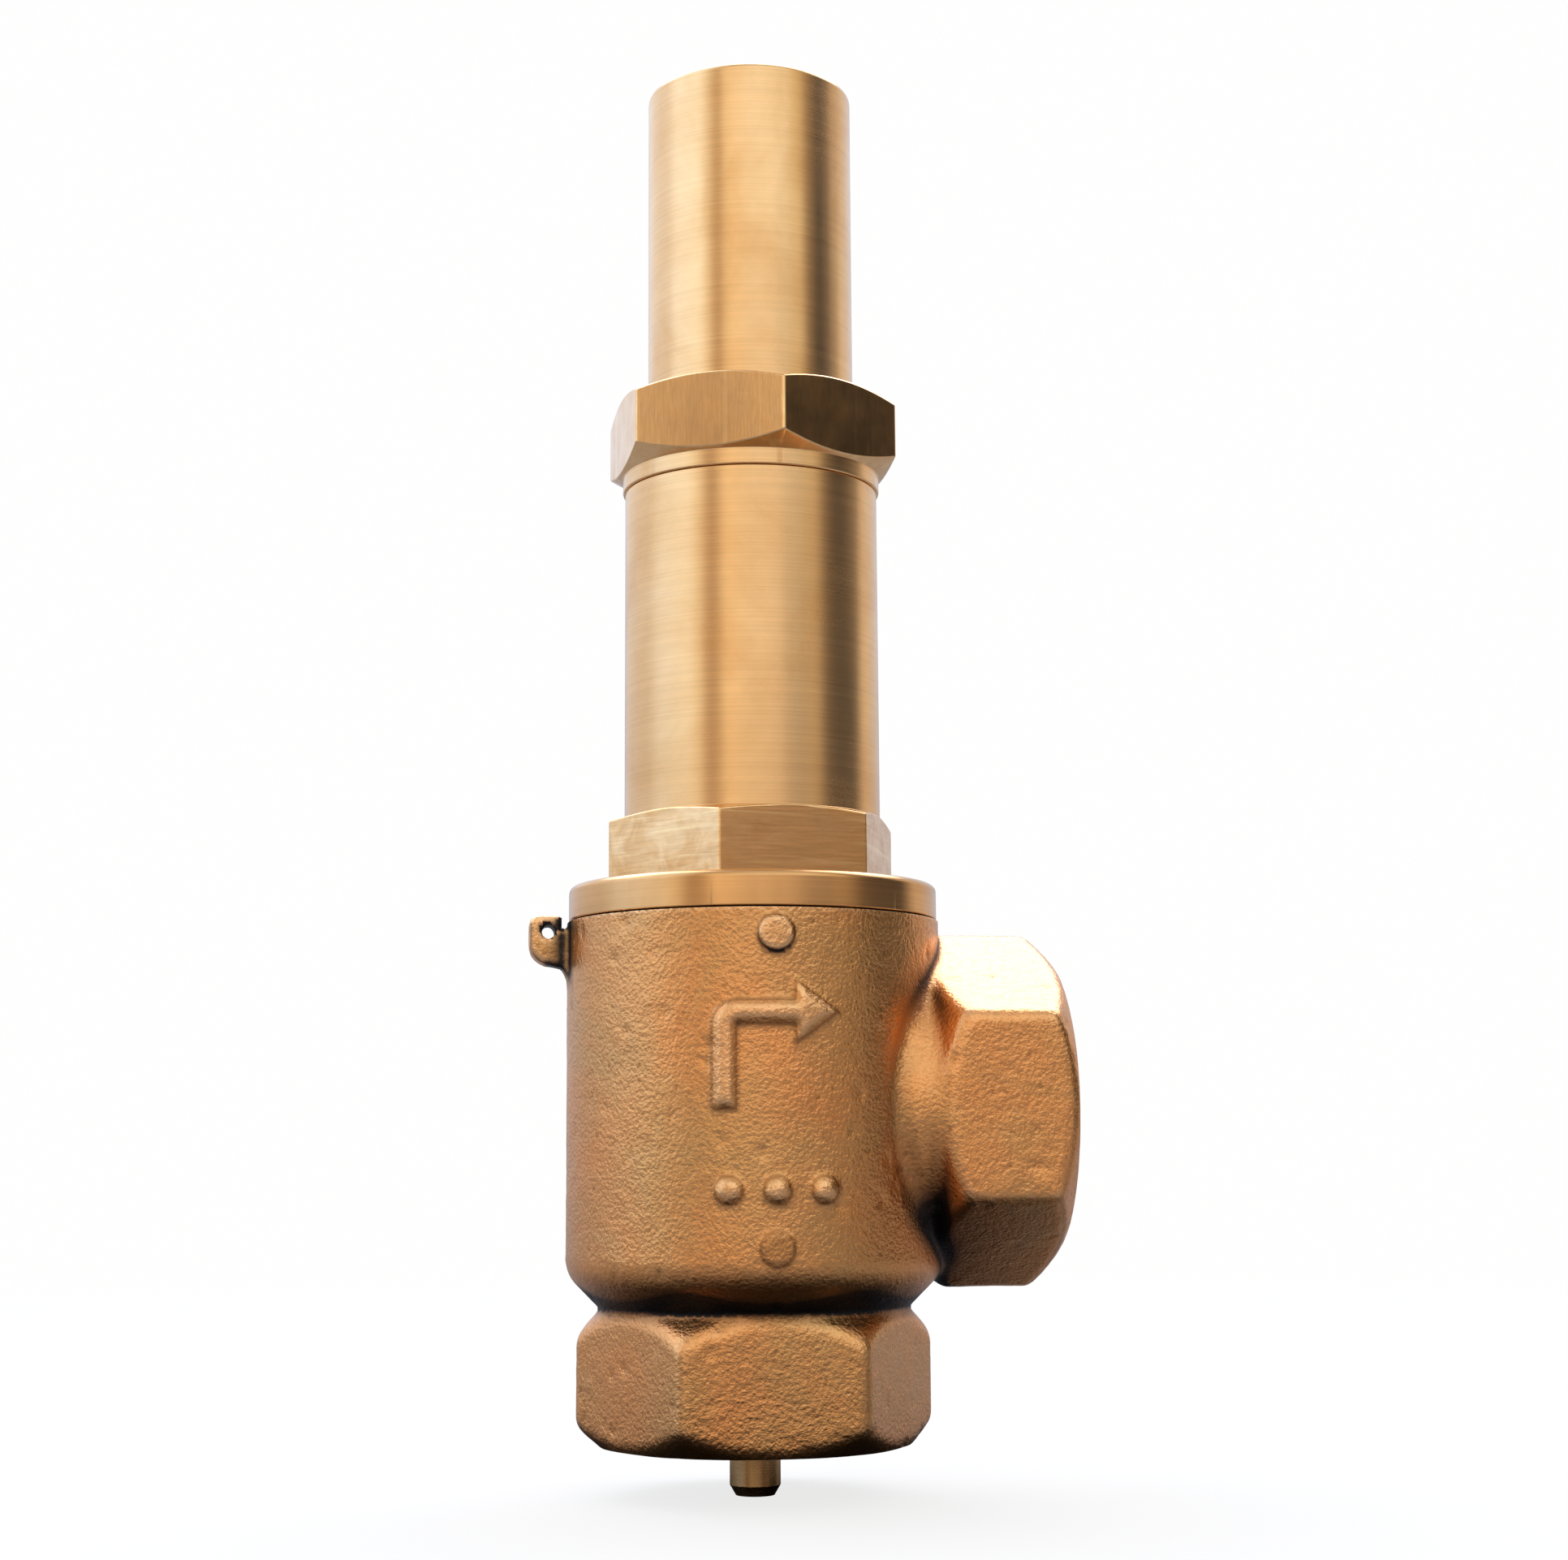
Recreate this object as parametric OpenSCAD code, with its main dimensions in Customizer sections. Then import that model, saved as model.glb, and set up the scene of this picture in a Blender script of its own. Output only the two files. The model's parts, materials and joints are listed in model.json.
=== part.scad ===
// Spring loaded pressure relief valve, angle pattern, with a closed bonnet and a screwed cap.
// The origin is the centre of the inlet face. +Z runs up the spindle and +X leaves the outlet.

/* [Pipe connections] */
// Width across flats of the inlet and outlet hexagons
port_flats = 50; // [49:0.5:51]
// Minor radius of the G 1 1/4 female pipe threads
pipe_thread_r = 19.476; // [19:0.001:19.6]
// Depth of each pipe thread
pipe_thread_len = 17; // [14:0.5:17]
// Height of the inlet hexagon up to the neck groove
inlet_hex_h = 20.9; // [20.5:0.1:21.2]
// Height of the outlet axis above the inlet face
outlet_axis_z = 52.5; // [51.5:0.5:53]
// Distance from the spindle axis to the outlet face
outlet_reach = 48.3; // [48:0.1:52]
// Radius of the waterway
waterway_r = 17; // [16.5:0.1:17]

/* [Body] */
// Outer radius of the cast barrel
barrel_r = 30.25; // [30.1:0.05:30.6]
// Height of the barrel's machined top face
barrel_top_z = 82.7; // [82.5:0.1:82.9]
// Inner radius of the chamber around the disc
chamber_r = 25; // [24.5:0.1:25]
// Radius of the groove between the inlet hexagon and the barrel
neck_r = 24.9; // [24.5:0.1:24.95]
// Height of the raised foundry marks above the barrel
mark_h = 0.9; // [0.4:0.1:1]

/* [Seat and disc] */
// Height of the seat lip above the inlet face
seat_z = 34; // [33.8:0.1:34.2]
// Radius of the guide stem
stem_r = 4.05; // [4:0.05:4.2]
// How far the guide stem stands out of the inlet
stem_reach = 8; // [5:0.1:9]
// Outer radius of the disc holder
disc_r = 21.2; // [20.5:0.1:22]

/* [Bonnet] */
// Radius of the clamping flange
flange_r = 30; // [29.8:0.1:30.2]
// Height of the top of the flange
flange_top_z = 88.6; // [88:0.1:89]
// Width across flats of the bonnet hexagon
bonnet_flats = 42.4; // [42.2:0.1:43]
// Height of the top of the bonnet hexagon
bonnet_hex_top_z = 99.8; // [98:0.1:100]
// Angle of the bonnet hexagon about the spindle axis
bonnet_hex_turn = 11; // [0:1:59]
// Outer radius of the spring housing
housing_r = 21; // [20.6:0.1:21]
// Height of the top of the spring housing
housing_top_z = 154.6; // [154.2:0.1:155]
// Radius of the bore that holds the spring
spring_bore_r = 16.5; // [16.3:0.1:16.8]

/* [Cap] */
// Width across flats of the cap hexagon
cap_flats = 44; // [43.6:0.1:45]
// Angle of the cap hexagon about the spindle axis
cap_hex_turn = 35.6; // [0:0.1:59]
// Outer radius of the cap's collar
collar_r = 21.4; // [21.2:0.1:21.6]
// Outer radius of the cap's tube
cap_tube_r = 17.2; // [17.1:0.1:17.6]
// Height of the closed top of the cap
cap_top_z = 224; // [223.5:0.5:228]

/* [Spring] */
// Diameter of the spring wire
wire_d = 4.5; // [3.5:0.1:4.5]
// Mean radius of the coils
coil_r = 13.4; // [13.3:0.1:13.5]
// Number of turns, with one closed turn at each end
coil_turns = 8; // [6:1:9]

/* [Hidden] */
$fn = 96;

cast_bronze = "#B07B47";
turned_brass = "#D6AE6A";
steel = "#B9BCC0";
seal_black = "#26282A";

overcut = 1;
fit_gap = 0.02;
running_gap = 0.05;
sin60 = sin(60);

// Ports
port_corner_r = port_flats / 2 / sin60;
port_envelope_r = port_corner_r + 1.1;
inlet_face_r = 24.9;
inlet_low_slope = 0.86;
inlet_high_slope = 1.06;
outlet_neck_r = 24;
outlet_face_r = 23.9;
outlet_inner_slope = 0.83;
outlet_outer_slope = 0.67;
outlet_neck_x = 26.4;
outlet_round_x = 24;
outlet_round_r = 7;
thread_entry = 1.7;
guide_shoulder_z = 21;
guide_shoulder_r = 16;

// Barrel
shoulder_r = 3;
shoulder_z = 28;
seat_pocket_r = 19;
seat_pocket_z = 27;
chamber_floor_z = 30;
bonnet_thread_r = 26;
bonnet_thread_z = 71;
gasket_outer_r = 28;
gasket_z = 82;
flange_z = 83;

// Foundry marks on the front of the barrel
flow_mark_z = 62;
flow_mark_w = 20;
flow_mark_line = 4;
tally_mark_z = 40;
tally_mark_pitch = 7.4;
tally_mark_r = 2.3;
pip_r = 2.75;
pip_z = [78.7, 31.3];
pip_h = [0.6, 0.25];

// Seal-wire lug
lug_thick = 5.5;
lug_end_x = 36.5;
lug_top_z = 83.7;
lug_arc_r = 3.5;
lug_arc_z = 79.2;
lug_root_z = 73.5;
lug_notch_x = 31.3;
lug_notch_z = 81.5;
wire_hole_r = 1.1;
wire_hole_x = 33.4;
wire_hole_z = 81.1;

// Disc and spindle stack
seat_bore_r = 15.5;
seal_t = 3;
seal_r = 19.4;
stud_r = 3.95;
stud_bore_r = 4;
clamp_t = 2;
clamp_r = 12;
ball_r = 4;
ball_floor_z = seat_z + 12;
pocket_r = 5.08;
hub_top_z = seat_z + 26;
pin_z = hub_top_z - 3;
pin_r = 1.25;
pin_len = 18;
spindle_foot_z = ball_floor_z + 2 * ball_r + fit_gap;
spindle_foot_r = 5;
spindle_r = 4;
spindle_top_z = 213;
plate_z = 76;
plate_t = 4;
plate_boss_h = 3;
plate_r = 15.8;
plate_boss_r = 11;

// Spring and adjuster stack
spring_low_z = plate_z + plate_t;
spring_high_z = 140;
washer_z = spring_high_z + plate_t;
washer_t = 1.5;
washer_r = 9.5;
screw_z = washer_z + washer_t;
screw_r = 8;
screw_thread_r = 8.05;
screw_bore_r = 4.4;
screw_hex_z = 193;
screw_top_z = 203;
screw_flats = 13;
bush_r = 6;
bush_top_z = 155.5;
spring_bore_top_z = 150.5;
neck_top_z = 168;
cap_thread_r = 18;
nut_flats = 24;
nut_h = 7;

// Cap
cap_collar_z = housing_top_z;
cap_hex_low_z = 157;
cap_hex_high_z = 170.6;
cap_wall = 3;
cap_gasket_r = 20.3;
cap_gasket_h = 1.5;

// Points on an arc, from angle a0 to angle a1
function arc(cx, cy, r, a0, a1, steps = 5) =
    [for (i = [0:steps]) let (a = a0 + (a1 - a0) * i / steps) [cx + r * cos(a), cy + r * sin(a)]];

// A solid of revolution about Z; the profile is a list of [radius, height]
module turned(profile) {
    rotate_extrude() polygon(profile);
}

// A plain tube between two heights
module tube(outer_r, inner_r, z0, z1) {
    turned([[inner_r, z0], [outer_r, z0], [outer_r, z1], [inner_r, z1]]);
}

// A plain round bar between two heights
module bar(r, z0, z1) {
    translate([0, 0, z0]) cylinder(r = r, h = z1 - z0);
}

// A hexagonal bar between two heights, with a corner on +X
module hex_bar(flats, z0, z1) {
    translate([0, 0, z0]) cylinder(r = flats / 2 / sin60, h = z1 - z0, $fn = 6);
}

// Turns a shape built along Z so that it lies along the outlet
module along_outlet() {
    translate([0, 0, outlet_axis_z]) rotate([0, 90, 0]) children();
}

// ---- Body ----

module inlet_hexagon() {
    over_r = port_envelope_r - inlet_face_r;
    intersection() {
        hex_bar(port_flats, 0, inlet_hex_h);
        turned([
            [0, 0], [inlet_face_r, 0],
            [port_envelope_r, over_r * inlet_low_slope],
            [port_envelope_r, inlet_hex_h - (port_envelope_r - neck_r) * inlet_high_slope],
            [neck_r, inlet_hex_h], [0, inlet_hex_h]
        ]);
    }
}

module barrel() {
    groove_h = 0.5;
    turned(concat(
        [[0, inlet_hex_h - overcut], [neck_r, inlet_hex_h - overcut], [neck_r, inlet_hex_h + groove_h]],
        arc(barrel_r - shoulder_r, shoulder_z, shoulder_r, -45, 0),
        [[barrel_r, barrel_top_z], [0, barrel_top_z]]
    ));
}

module outlet_branch() {
    inner_x = outlet_neck_x + (port_envelope_r - outlet_neck_r) * outlet_inner_slope;
    outer_x = outlet_reach - (port_envelope_r - outlet_face_r) * outlet_outer_slope;
    along_outlet() {
        turned(concat(
            [[0, outlet_round_x - outlet_round_r]],
            arc(outlet_neck_r - outlet_round_r, outlet_round_x, outlet_round_r, -90, 0, 8),
            [[outlet_neck_r, outlet_neck_x + overcut], [0, outlet_neck_x + overcut]]
        ));
        intersection() {
            hex_bar(port_flats, outlet_neck_x, outlet_reach);
            turned([
                [0, outlet_neck_x], [outlet_neck_r, outlet_neck_x],
                [port_envelope_r, inner_x], [port_envelope_r, outer_x],
                [outlet_face_r, outlet_reach], [0, outlet_reach]
            ]);
        }
    }
}

module wire_lug() {
    inside_x = barrel_r - 2;
    rotate([90, 0, 0]) linear_extrude(height = lug_thick, center = true)
        difference() {
            polygon(concat(
                [[-inside_x, lug_root_z], [-barrel_r, lug_root_z + 0.5], [-barrel_r - 1, lug_root_z + 1.8]],
                arc(-lug_end_x + lug_arc_r, lug_arc_z, lug_arc_r, 270, 180),
                [
                    [-lug_end_x, lug_top_z - 1], [-lug_end_x + 0.8, lug_top_z],
                    [-lug_notch_x, lug_top_z], [-lug_notch_x, lug_notch_z],
                    [-inside_x, lug_notch_z]
                ]
            ));
            translate([-wire_hole_x, wire_hole_z]) circle(r = wire_hole_r);
        }
}

// A raised mark: the front of the barrel wherever the flat outline covers it
module barrel_mark(height) {
    intersection() {
        tube(barrel_r + height, barrel_r - 1, chamber_floor_z - 3, barrel_top_z);
        rotate([90, 0, 0]) linear_extrude(height = barrel_r + 2) children();
    }
}

// A bent arrow: up from the inlet, then out towards the outlet
module flow_arrow() {
    half = flow_mark_w / 2;
    low = -half;
    line = flow_mark_line;
    head = 2.6 * line;
    shaft_y = half - head / 2;
    translate([0, flow_mark_z]) polygon(concat(
        [[-half, low], [-half + line, low]],
        [[-half + line, shaft_y - line / 2]],
        [[half - head * 0.7, shaft_y - line / 2], [half - head * 0.7, shaft_y - head / 2]],
        [[half, shaft_y], [half - head * 0.7, shaft_y + head / 2]],
        [[half - head * 0.7, shaft_y + line / 2]],
        arc(-half + line, shaft_y - line / 2, line, 90, 180)
    ));
}

module foundry_marks() {
    barrel_mark(mark_h) flow_arrow();
    barrel_mark(mark_h)
        for (i = [-1:1]) translate([i * tally_mark_pitch, tally_mark_z]) circle(r = tally_mark_r);
    for (i = [0:len(pip_z) - 1])
        barrel_mark(pip_h[i]) translate([0, pip_z[i]]) circle(r = pip_r);
}

// Everything that is machined out of the casting
module body_bores() {
    bar(pipe_thread_r, -overcut, pipe_thread_len);
    bar(guide_shoulder_r, 0, chamber_floor_z);
    bar(waterway_r, guide_shoulder_z, chamber_floor_z);
    bar(seat_pocket_r, seat_pocket_z, chamber_floor_z + overcut);
    bar(chamber_r, chamber_floor_z, bonnet_thread_z + overcut);
    bar(bonnet_thread_r, bonnet_thread_z, barrel_top_z + overcut);
    bar(gasket_outer_r, gasket_z, barrel_top_z + overcut);
    thread_entry_cone();
    along_outlet() {
        bar(waterway_r, 0, outlet_reach);
        bar(pipe_thread_r, outlet_reach - pipe_thread_len, outlet_reach + overcut);
        translate([0, 0, outlet_reach]) mirror([0, 0, 1]) thread_entry_cone();
    }
}

module thread_entry_cone() {
    turned([
        [0, -overcut], [pipe_thread_r + thread_entry + overcut, -overcut],
        [pipe_thread_r, thread_entry], [0, thread_entry]
    ]);
}

module body() {
    color(cast_bronze) difference() {
        union() {
            inlet_hexagon();
            barrel();
            outlet_branch();
            wire_lug();
            foundry_marks();
        }
        body_bores();
    }
}

// ---- Seat and disc ----

module seat_ring() {
    lip_r = seat_bore_r + 2;
    fit_r = seat_pocket_r - fit_gap;
    color(steel) turned([
        [seat_bore_r, seat_pocket_z], [fit_r, seat_pocket_z], [fit_r, chamber_floor_z],
        [fit_r + 2.5, chamber_floor_z], [fit_r + 2.5, seat_z - 2], [lip_r + 0.6, seat_z - 2],
        [lip_r, seat_z], [lip_r - 1.2, seat_z], [seat_bore_r, seat_z - 0.8]
    ]);
}

module inlet_guide() {
    ring_r = waterway_r - fit_gap;
    ring_in_r = 14.5;
    hub_r = 7.5;
    rib_t = 3;
    color(turned_brass) difference() {
        union() {
            tube(ring_r, ring_in_r, guide_shoulder_z, seat_pocket_z);
            bar(hub_r, pipe_thread_len, seat_pocket_z);
            for (i = [0:2]) rotate([0, 0, 90 + 120 * i])
                translate([0, -rib_t / 2, guide_shoulder_z + 0.5])
                    cube([ring_in_r + 1, rib_t, seat_pocket_z - guide_shoulder_z - 1]);
        }
        bar(stem_r + running_gap, 0, seat_pocket_z + overcut);
    }
}

module guide_stem() {
    tip_r = stem_r - 0.95;
    head_r = 7;
    head_z = seat_z - clamp_t - 1.8;
    stud_top_z = seat_z + 9.5;
    color(turned_brass) turned([
        [0, -stem_reach], [tip_r, -stem_reach], [stem_r, -stem_reach + 1.6], [stem_r, head_z],
        [head_r, head_z], [head_r, seat_z - clamp_t], [stud_r, seat_z - clamp_t],
        [stud_r, stud_top_z], [0, stud_top_z]
    ]);
}

module seal_clamp_washer() {
    color(turned_brass) tube(clamp_r, stud_bore_r, seat_z - clamp_t, seat_z);
}

module seat_seal() {
    color(seal_black) tube(seal_r, stud_bore_r, seat_z, seat_z + seal_t);
}

module disc_holder() {
    face_z = seat_z + seal_t;
    lip_z = seat_z + 1.2;
    plate_top_z = face_z + 4;
    hub_r = 9.5;
    color(turned_brass) difference() {
        turned([
            [0, face_z], [seal_r + 0.1, face_z], [seal_r + 0.1, lip_z], [disc_r, lip_z],
            [disc_r, plate_top_z], [hub_r + 2, plate_top_z + 1], [hub_r, plate_top_z + 3],
            [hub_r, hub_top_z], [0, hub_top_z]
        ]);
        bar(stud_bore_r, face_z - overcut, seat_z + 10);
        bar(pocket_r, ball_floor_z, hub_top_z + overcut);
        translate([0, 0, pin_z]) rotate([90, 0, 0])
            cylinder(r = pin_r + fit_gap, h = 3 * hub_r, center = true);
    }
}

module pivot_ball() {
    color(steel) translate([0, 0, ball_floor_z + ball_r + fit_gap / 2]) sphere(r = ball_r);
}

module retaining_pin() {
    color(steel) translate([0, 0, pin_z]) rotate([90, 0, 0])
        cylinder(r = pin_r, h = pin_len, center = true);
}

module spindle() {
    thrust_r = 7.5;
    color(steel) difference() {
        turned([
            [0, spindle_foot_z], [spindle_foot_r, spindle_foot_z], [spindle_foot_r, plate_z - 2],
            [thrust_r, plate_z - 2], [thrust_r, plate_z], [spindle_r, plate_z],
            [spindle_r, spindle_top_z - 1], [spindle_r - 1, spindle_top_z], [0, spindle_top_z]
        ]);
        translate([0, 0, pin_z]) rotate([90, 0, 0])
            cylinder(r = pin_r + 0.35, h = 4 * spindle_foot_r, center = true);
    }
}

// ---- Spring and adjuster ----

// A plate that seats one end of the spring; its boss points up from z
module spring_plate(bore_r) {
    turned([
        [bore_r, 0], [plate_r - 0.8, 0], [plate_r, 0.8], [plate_r, plate_t], [plate_boss_r, plate_t],
        [plate_boss_r - 0.6, plate_t + plate_boss_h], [bore_r, plate_t + plate_boss_h]
    ]);
}

module lower_spring_plate() {
    color(turned_brass) translate([0, 0, plate_z]) spring_plate(spindle_r + 0.1);
}

module upper_spring_plate() {
    color(turned_brass) translate([0, 0, washer_z]) mirror([0, 0, 1]) spring_plate(spindle_r + 0.5);
}

// Height of the wire's centre after a number of turns: closed at the ends, open between
function wire_z(turn) =
    let (
        closed_pitch = wire_d + 0.3,
        low = spring_low_z + wire_d / 2 + fit_gap,
        high = spring_high_z - wire_d / 2 - fit_gap,
        open_pitch = (high - low - 2 * closed_pitch) / (coil_turns - 2)
    )
    turn < 1 ? low + closed_pitch * turn
    : turn > coil_turns - 1 ? high - closed_pitch * (coil_turns - turn)
    : low + closed_pitch + open_pitch * (turn - 1);

module spring() {
    steps = 24 * coil_turns;
    sides = 8;
    points = [
        for (i = [0:steps], j = [0:sides - 1])
            let (a = 360 * coil_turns * i / steps, b = 360 * j / sides, r = coil_r + wire_d / 2 * cos(b))
            [r * cos(a), r * sin(a), wire_z(coil_turns * i / steps) + wire_d / 2 * sin(b)]
    ];
    skin = [
        for (i = [0:steps - 1], j = [0:sides - 1])
            let (k = (j + 1) % sides, low = i * sides, high = low + sides)
            [low + j, low + k, high + k, high + j]
    ];
    first_end = [for (j = [sides - 1:-1:0]) j];
    last_end = [for (j = [0:sides - 1]) steps * sides + j];
    color(steel) polyhedron(points, concat(skin, [first_end, last_end]), convexity = 10);
}

module thrust_washer() {
    color(steel) tube(washer_r, spindle_r + 0.6, washer_z, screw_z);
}

module adjusting_screw() {
    color(turned_brass) difference() {
        union() {
            turned([
                [0, screw_z], [screw_r - 1, screw_z], [screw_r, screw_z + 1],
                [screw_r, screw_hex_z], [0, screw_hex_z]
            ]);
            intersection() {
                hex_bar(screw_flats, screw_hex_z - overcut, screw_top_z);
                turned([
                    [0, screw_hex_z - overcut], [screw_r, screw_hex_z - overcut],
                    [screw_r, screw_top_z - 1], [screw_r - 1.6, screw_top_z], [0, screw_top_z]
                ]);
            }
        }
        bar(screw_bore_r, screw_z - overcut, screw_top_z + overcut);
        bar(bush_r, screw_z - overcut, bush_top_z);
    }
}

module guide_bush() {
    color(cast_bronze) tube(bush_r - fit_gap, spindle_r + running_gap, screw_z + 0.5, bush_top_z);
}

// A hexagon with both ends chamfered to a cone
module chamfered_hex(flats, z0, z1, face_r, slope) {
    over_r = flats / 2 / sin60 + 0.5;
    rise = (over_r - face_r) * slope;
    intersection() {
        hex_bar(flats, z0, z1);
        turned([
            [0, z0], [face_r, z0], [over_r, z0 + rise],
            [over_r, z1 - rise], [face_r, z1], [0, z1]
        ]);
    }
}

module lock_nut() {
    color(steel) difference() {
        chamfered_hex(nut_flats, neck_top_z, neck_top_z + nut_h, nut_flats / 2 - 0.3, 0.58);
        bar(screw_thread_r, neck_top_z - overcut, neck_top_z + nut_h + overcut);
    }
}

// ---- Bonnet ----

module bonnet() {
    rim = 1.1;
    neck_r_fit = cap_thread_r - running_gap;
    corner_r = bonnet_flats / 2 / sin60;
    edge = 0.25;
    color(turned_brass) difference() {
        union() {
            bar(bonnet_thread_r - running_gap, bonnet_thread_z + 0.5, flange_z);
            turned(concat(
                [[0, flange_z], [flange_r, flange_z]],
                arc(flange_r - rim, flange_top_z - rim, rim, 0, 90),
                [[0, flange_top_z]]
            ));
            rotate([0, 0, bonnet_hex_turn]) intersection() {
                hex_bar(bonnet_flats, flange_top_z - overcut, bonnet_hex_top_z);
                turned([
                    [0, flange_top_z - overcut], [corner_r + 1, flange_top_z - overcut],
                    [corner_r + 1, bonnet_hex_top_z - 1.3], [housing_r, bonnet_hex_top_z],
                    [0, bonnet_hex_top_z]
                ]);
            }
            turned([
                [0, flange_top_z], [housing_r, flange_top_z], [housing_r, housing_top_z - edge],
                [housing_r - edge, housing_top_z], [neck_r_fit, housing_top_z],
                [neck_r_fit, neck_top_z - 1], [neck_r_fit - 1, neck_top_z], [0, neck_top_z]
            ]);
        }
        bar(spring_bore_r, bonnet_thread_z, spring_bore_top_z);
        bar(screw_thread_r, spring_bore_top_z - overcut, neck_top_z + overcut);
    }
}

module bonnet_gasket() {
    color(seal_black) tube(gasket_outer_r - running_gap, bonnet_thread_r + running_gap, gasket_z, flange_z);
}

// ---- Cap ----

module cap() {
    edge = 0.25;
    rim = 1;
    hex_face_r = 20.9;
    slope = 0.56;
    color(turned_brass) difference() {
        union() {
            turned([
                [0, cap_collar_z], [collar_r - edge, cap_collar_z], [collar_r, cap_collar_z + edge],
                [collar_r, cap_hex_low_z + overcut], [0, cap_hex_low_z + overcut]
            ]);
            rotate([0, 0, cap_hex_turn])
                chamfered_hex(cap_flats, cap_hex_low_z, cap_hex_high_z, hex_face_r, slope);
            turned(concat(
                [[0, cap_hex_high_z - overcut], [cap_tube_r, cap_hex_high_z - overcut]],
                arc(cap_tube_r - rim, cap_top_z - rim, rim, 0, 90),
                [[0, cap_top_z]]
            ));
        }
        bar(cap_gasket_r, cap_collar_z - overcut, cap_collar_z + cap_gasket_h);
        bar(cap_thread_r, cap_collar_z, neck_top_z + 0.6);
        bar(cap_tube_r - cap_wall, neck_top_z, cap_top_z - cap_wall);
    }
}

module cap_gasket() {
    inner_r = cap_thread_r + 2 * running_gap;
    color(seal_black)
        tube(cap_gasket_r - running_gap, inner_r, cap_collar_z, cap_collar_z + cap_gasket_h);
}

body();
seat_ring();
inlet_guide();
guide_stem();
seal_clamp_washer();
seat_seal();
disc_holder();
pivot_ball();
retaining_pin();
spindle();
lower_spring_plate();
spring();
upper_spring_plate();
thrust_washer();
adjusting_screw();
guide_bush();
lock_nut();
bonnet();
bonnet_gasket();
cap();
cap_gasket();
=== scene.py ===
"""Looks of the pressure relief valve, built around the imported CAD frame.

Shapes are worked out in millimetres in the row frame and turned into metres when a mesh is made.
The cast body is a distance field that is meshed and then machined; the turned parts are lathed
column by column, so that a hexagon and its chamfers share one clean grid with the round parts.
"""

import json
import math

import bmesh
import bpy
import numpy as np
from mathutils import Matrix, Vector, noise


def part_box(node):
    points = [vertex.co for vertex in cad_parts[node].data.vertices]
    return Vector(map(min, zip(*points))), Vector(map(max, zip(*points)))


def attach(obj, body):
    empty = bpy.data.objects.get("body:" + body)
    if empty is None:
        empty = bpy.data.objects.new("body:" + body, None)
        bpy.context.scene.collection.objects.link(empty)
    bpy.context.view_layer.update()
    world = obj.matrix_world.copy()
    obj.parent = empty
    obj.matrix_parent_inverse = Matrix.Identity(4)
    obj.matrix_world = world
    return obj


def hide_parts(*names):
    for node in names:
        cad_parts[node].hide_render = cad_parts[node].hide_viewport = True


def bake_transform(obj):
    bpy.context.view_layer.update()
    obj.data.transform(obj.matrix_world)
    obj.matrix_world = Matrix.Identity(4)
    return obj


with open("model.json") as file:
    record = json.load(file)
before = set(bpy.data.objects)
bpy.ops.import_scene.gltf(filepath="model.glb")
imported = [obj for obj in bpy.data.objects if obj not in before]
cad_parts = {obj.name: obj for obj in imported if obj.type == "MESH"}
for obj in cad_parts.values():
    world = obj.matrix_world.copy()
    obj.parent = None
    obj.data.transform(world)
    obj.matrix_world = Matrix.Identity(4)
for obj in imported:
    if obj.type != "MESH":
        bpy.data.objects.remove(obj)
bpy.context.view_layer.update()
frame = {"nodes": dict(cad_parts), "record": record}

MM = 0.001


def node_mm(name):
    """A CAD node's lowest and highest corners in millimetres."""
    low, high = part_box(name)
    return np.array(low) / MM, np.array(high) / MM


# ---- Sizes, from the frame where it states them ----

body_low, body_high = node_mm("body")
bonnet_high = node_mm("bonnet")[1]
cap_low, cap_high = node_mm("cap")
PLATE_Z = node_mm("lower_spring_plate")[0][2]
UPPER_PLATE_Z = node_mm("upper_spring_plate")[1][2]
FLOOR_Z = node_mm("guide_stem")[0][2]

BARREL_R = body_high[1]
MARK_H = -body_low[1] - BARREL_R
LUG_X = -body_low[0]
OUTLET_X = body_high[0]
LUG_TOP = body_high[2]
BARREL_TOP = LUG_TOP - 1.0
SIN60 = math.sin(math.radians(60))

# Pipe connections: G 1 1/4
PORT_FLATS = 50.0
PIPE_MINOR_R = 19.476
PIPE_MAJOR_R = 20.955
PIPE_PITCH = 2.309
PIPE_THREAD = 17.0
PORT_ENTRY = 1.7
OUTLET_Z = 52.5
OUTLET_BORE = 48.0
WATERWAY_R = 17.0

# Cast outline
NECK_R = 24.9
HEX_TOP = 20.9
GROOVE_H = 0.5
OUTLET_NECK_R = 24.0
OUTLET_NECK_X = 26.4
OUTLET_ROUND_X = 24.0
OUTLET_ROUND_R = 7.0

# Cones that bevel the port hexagons, each through two (radius, distance along the port) points
PORT_CORNER_R = 28.87
INLET_FRONT = ((24.9, 0.0), (PORT_CORNER_R, 3.4))
INLET_BACK = ((NECK_R, HEX_TOP), (PORT_CORNER_R, 16.7))
OUTLET_FRONT = ((23.9, OUTLET_X), (PORT_CORNER_R, 44.97))
OUTLET_BACK = ((OUTLET_NECK_R, OUTLET_NECK_X), (PORT_CORNER_R, 30.42))

# Metal left on a rough face for machining, and how deep a face lies when it is a machined one
FACE_ALLOWANCE = 1.2
MACHINED_DEPTH = 0.42

# Bores
CHAMBER_R = 25.0
CHAMBER_Z = 30.0
SEAT_POCKET_R = 19.0
SEAT_POCKET_Z = 27.0
GUIDE_Z = 21.0
GUIDE_SHOULDER_R = 16.0
BONNET_THREAD_R = 26.0
BONNET_THREAD_Z = 71.0
GASKET_R = 28.0
GASKET_Z = 82.0
TOP_CUT_R = 31.1

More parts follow.
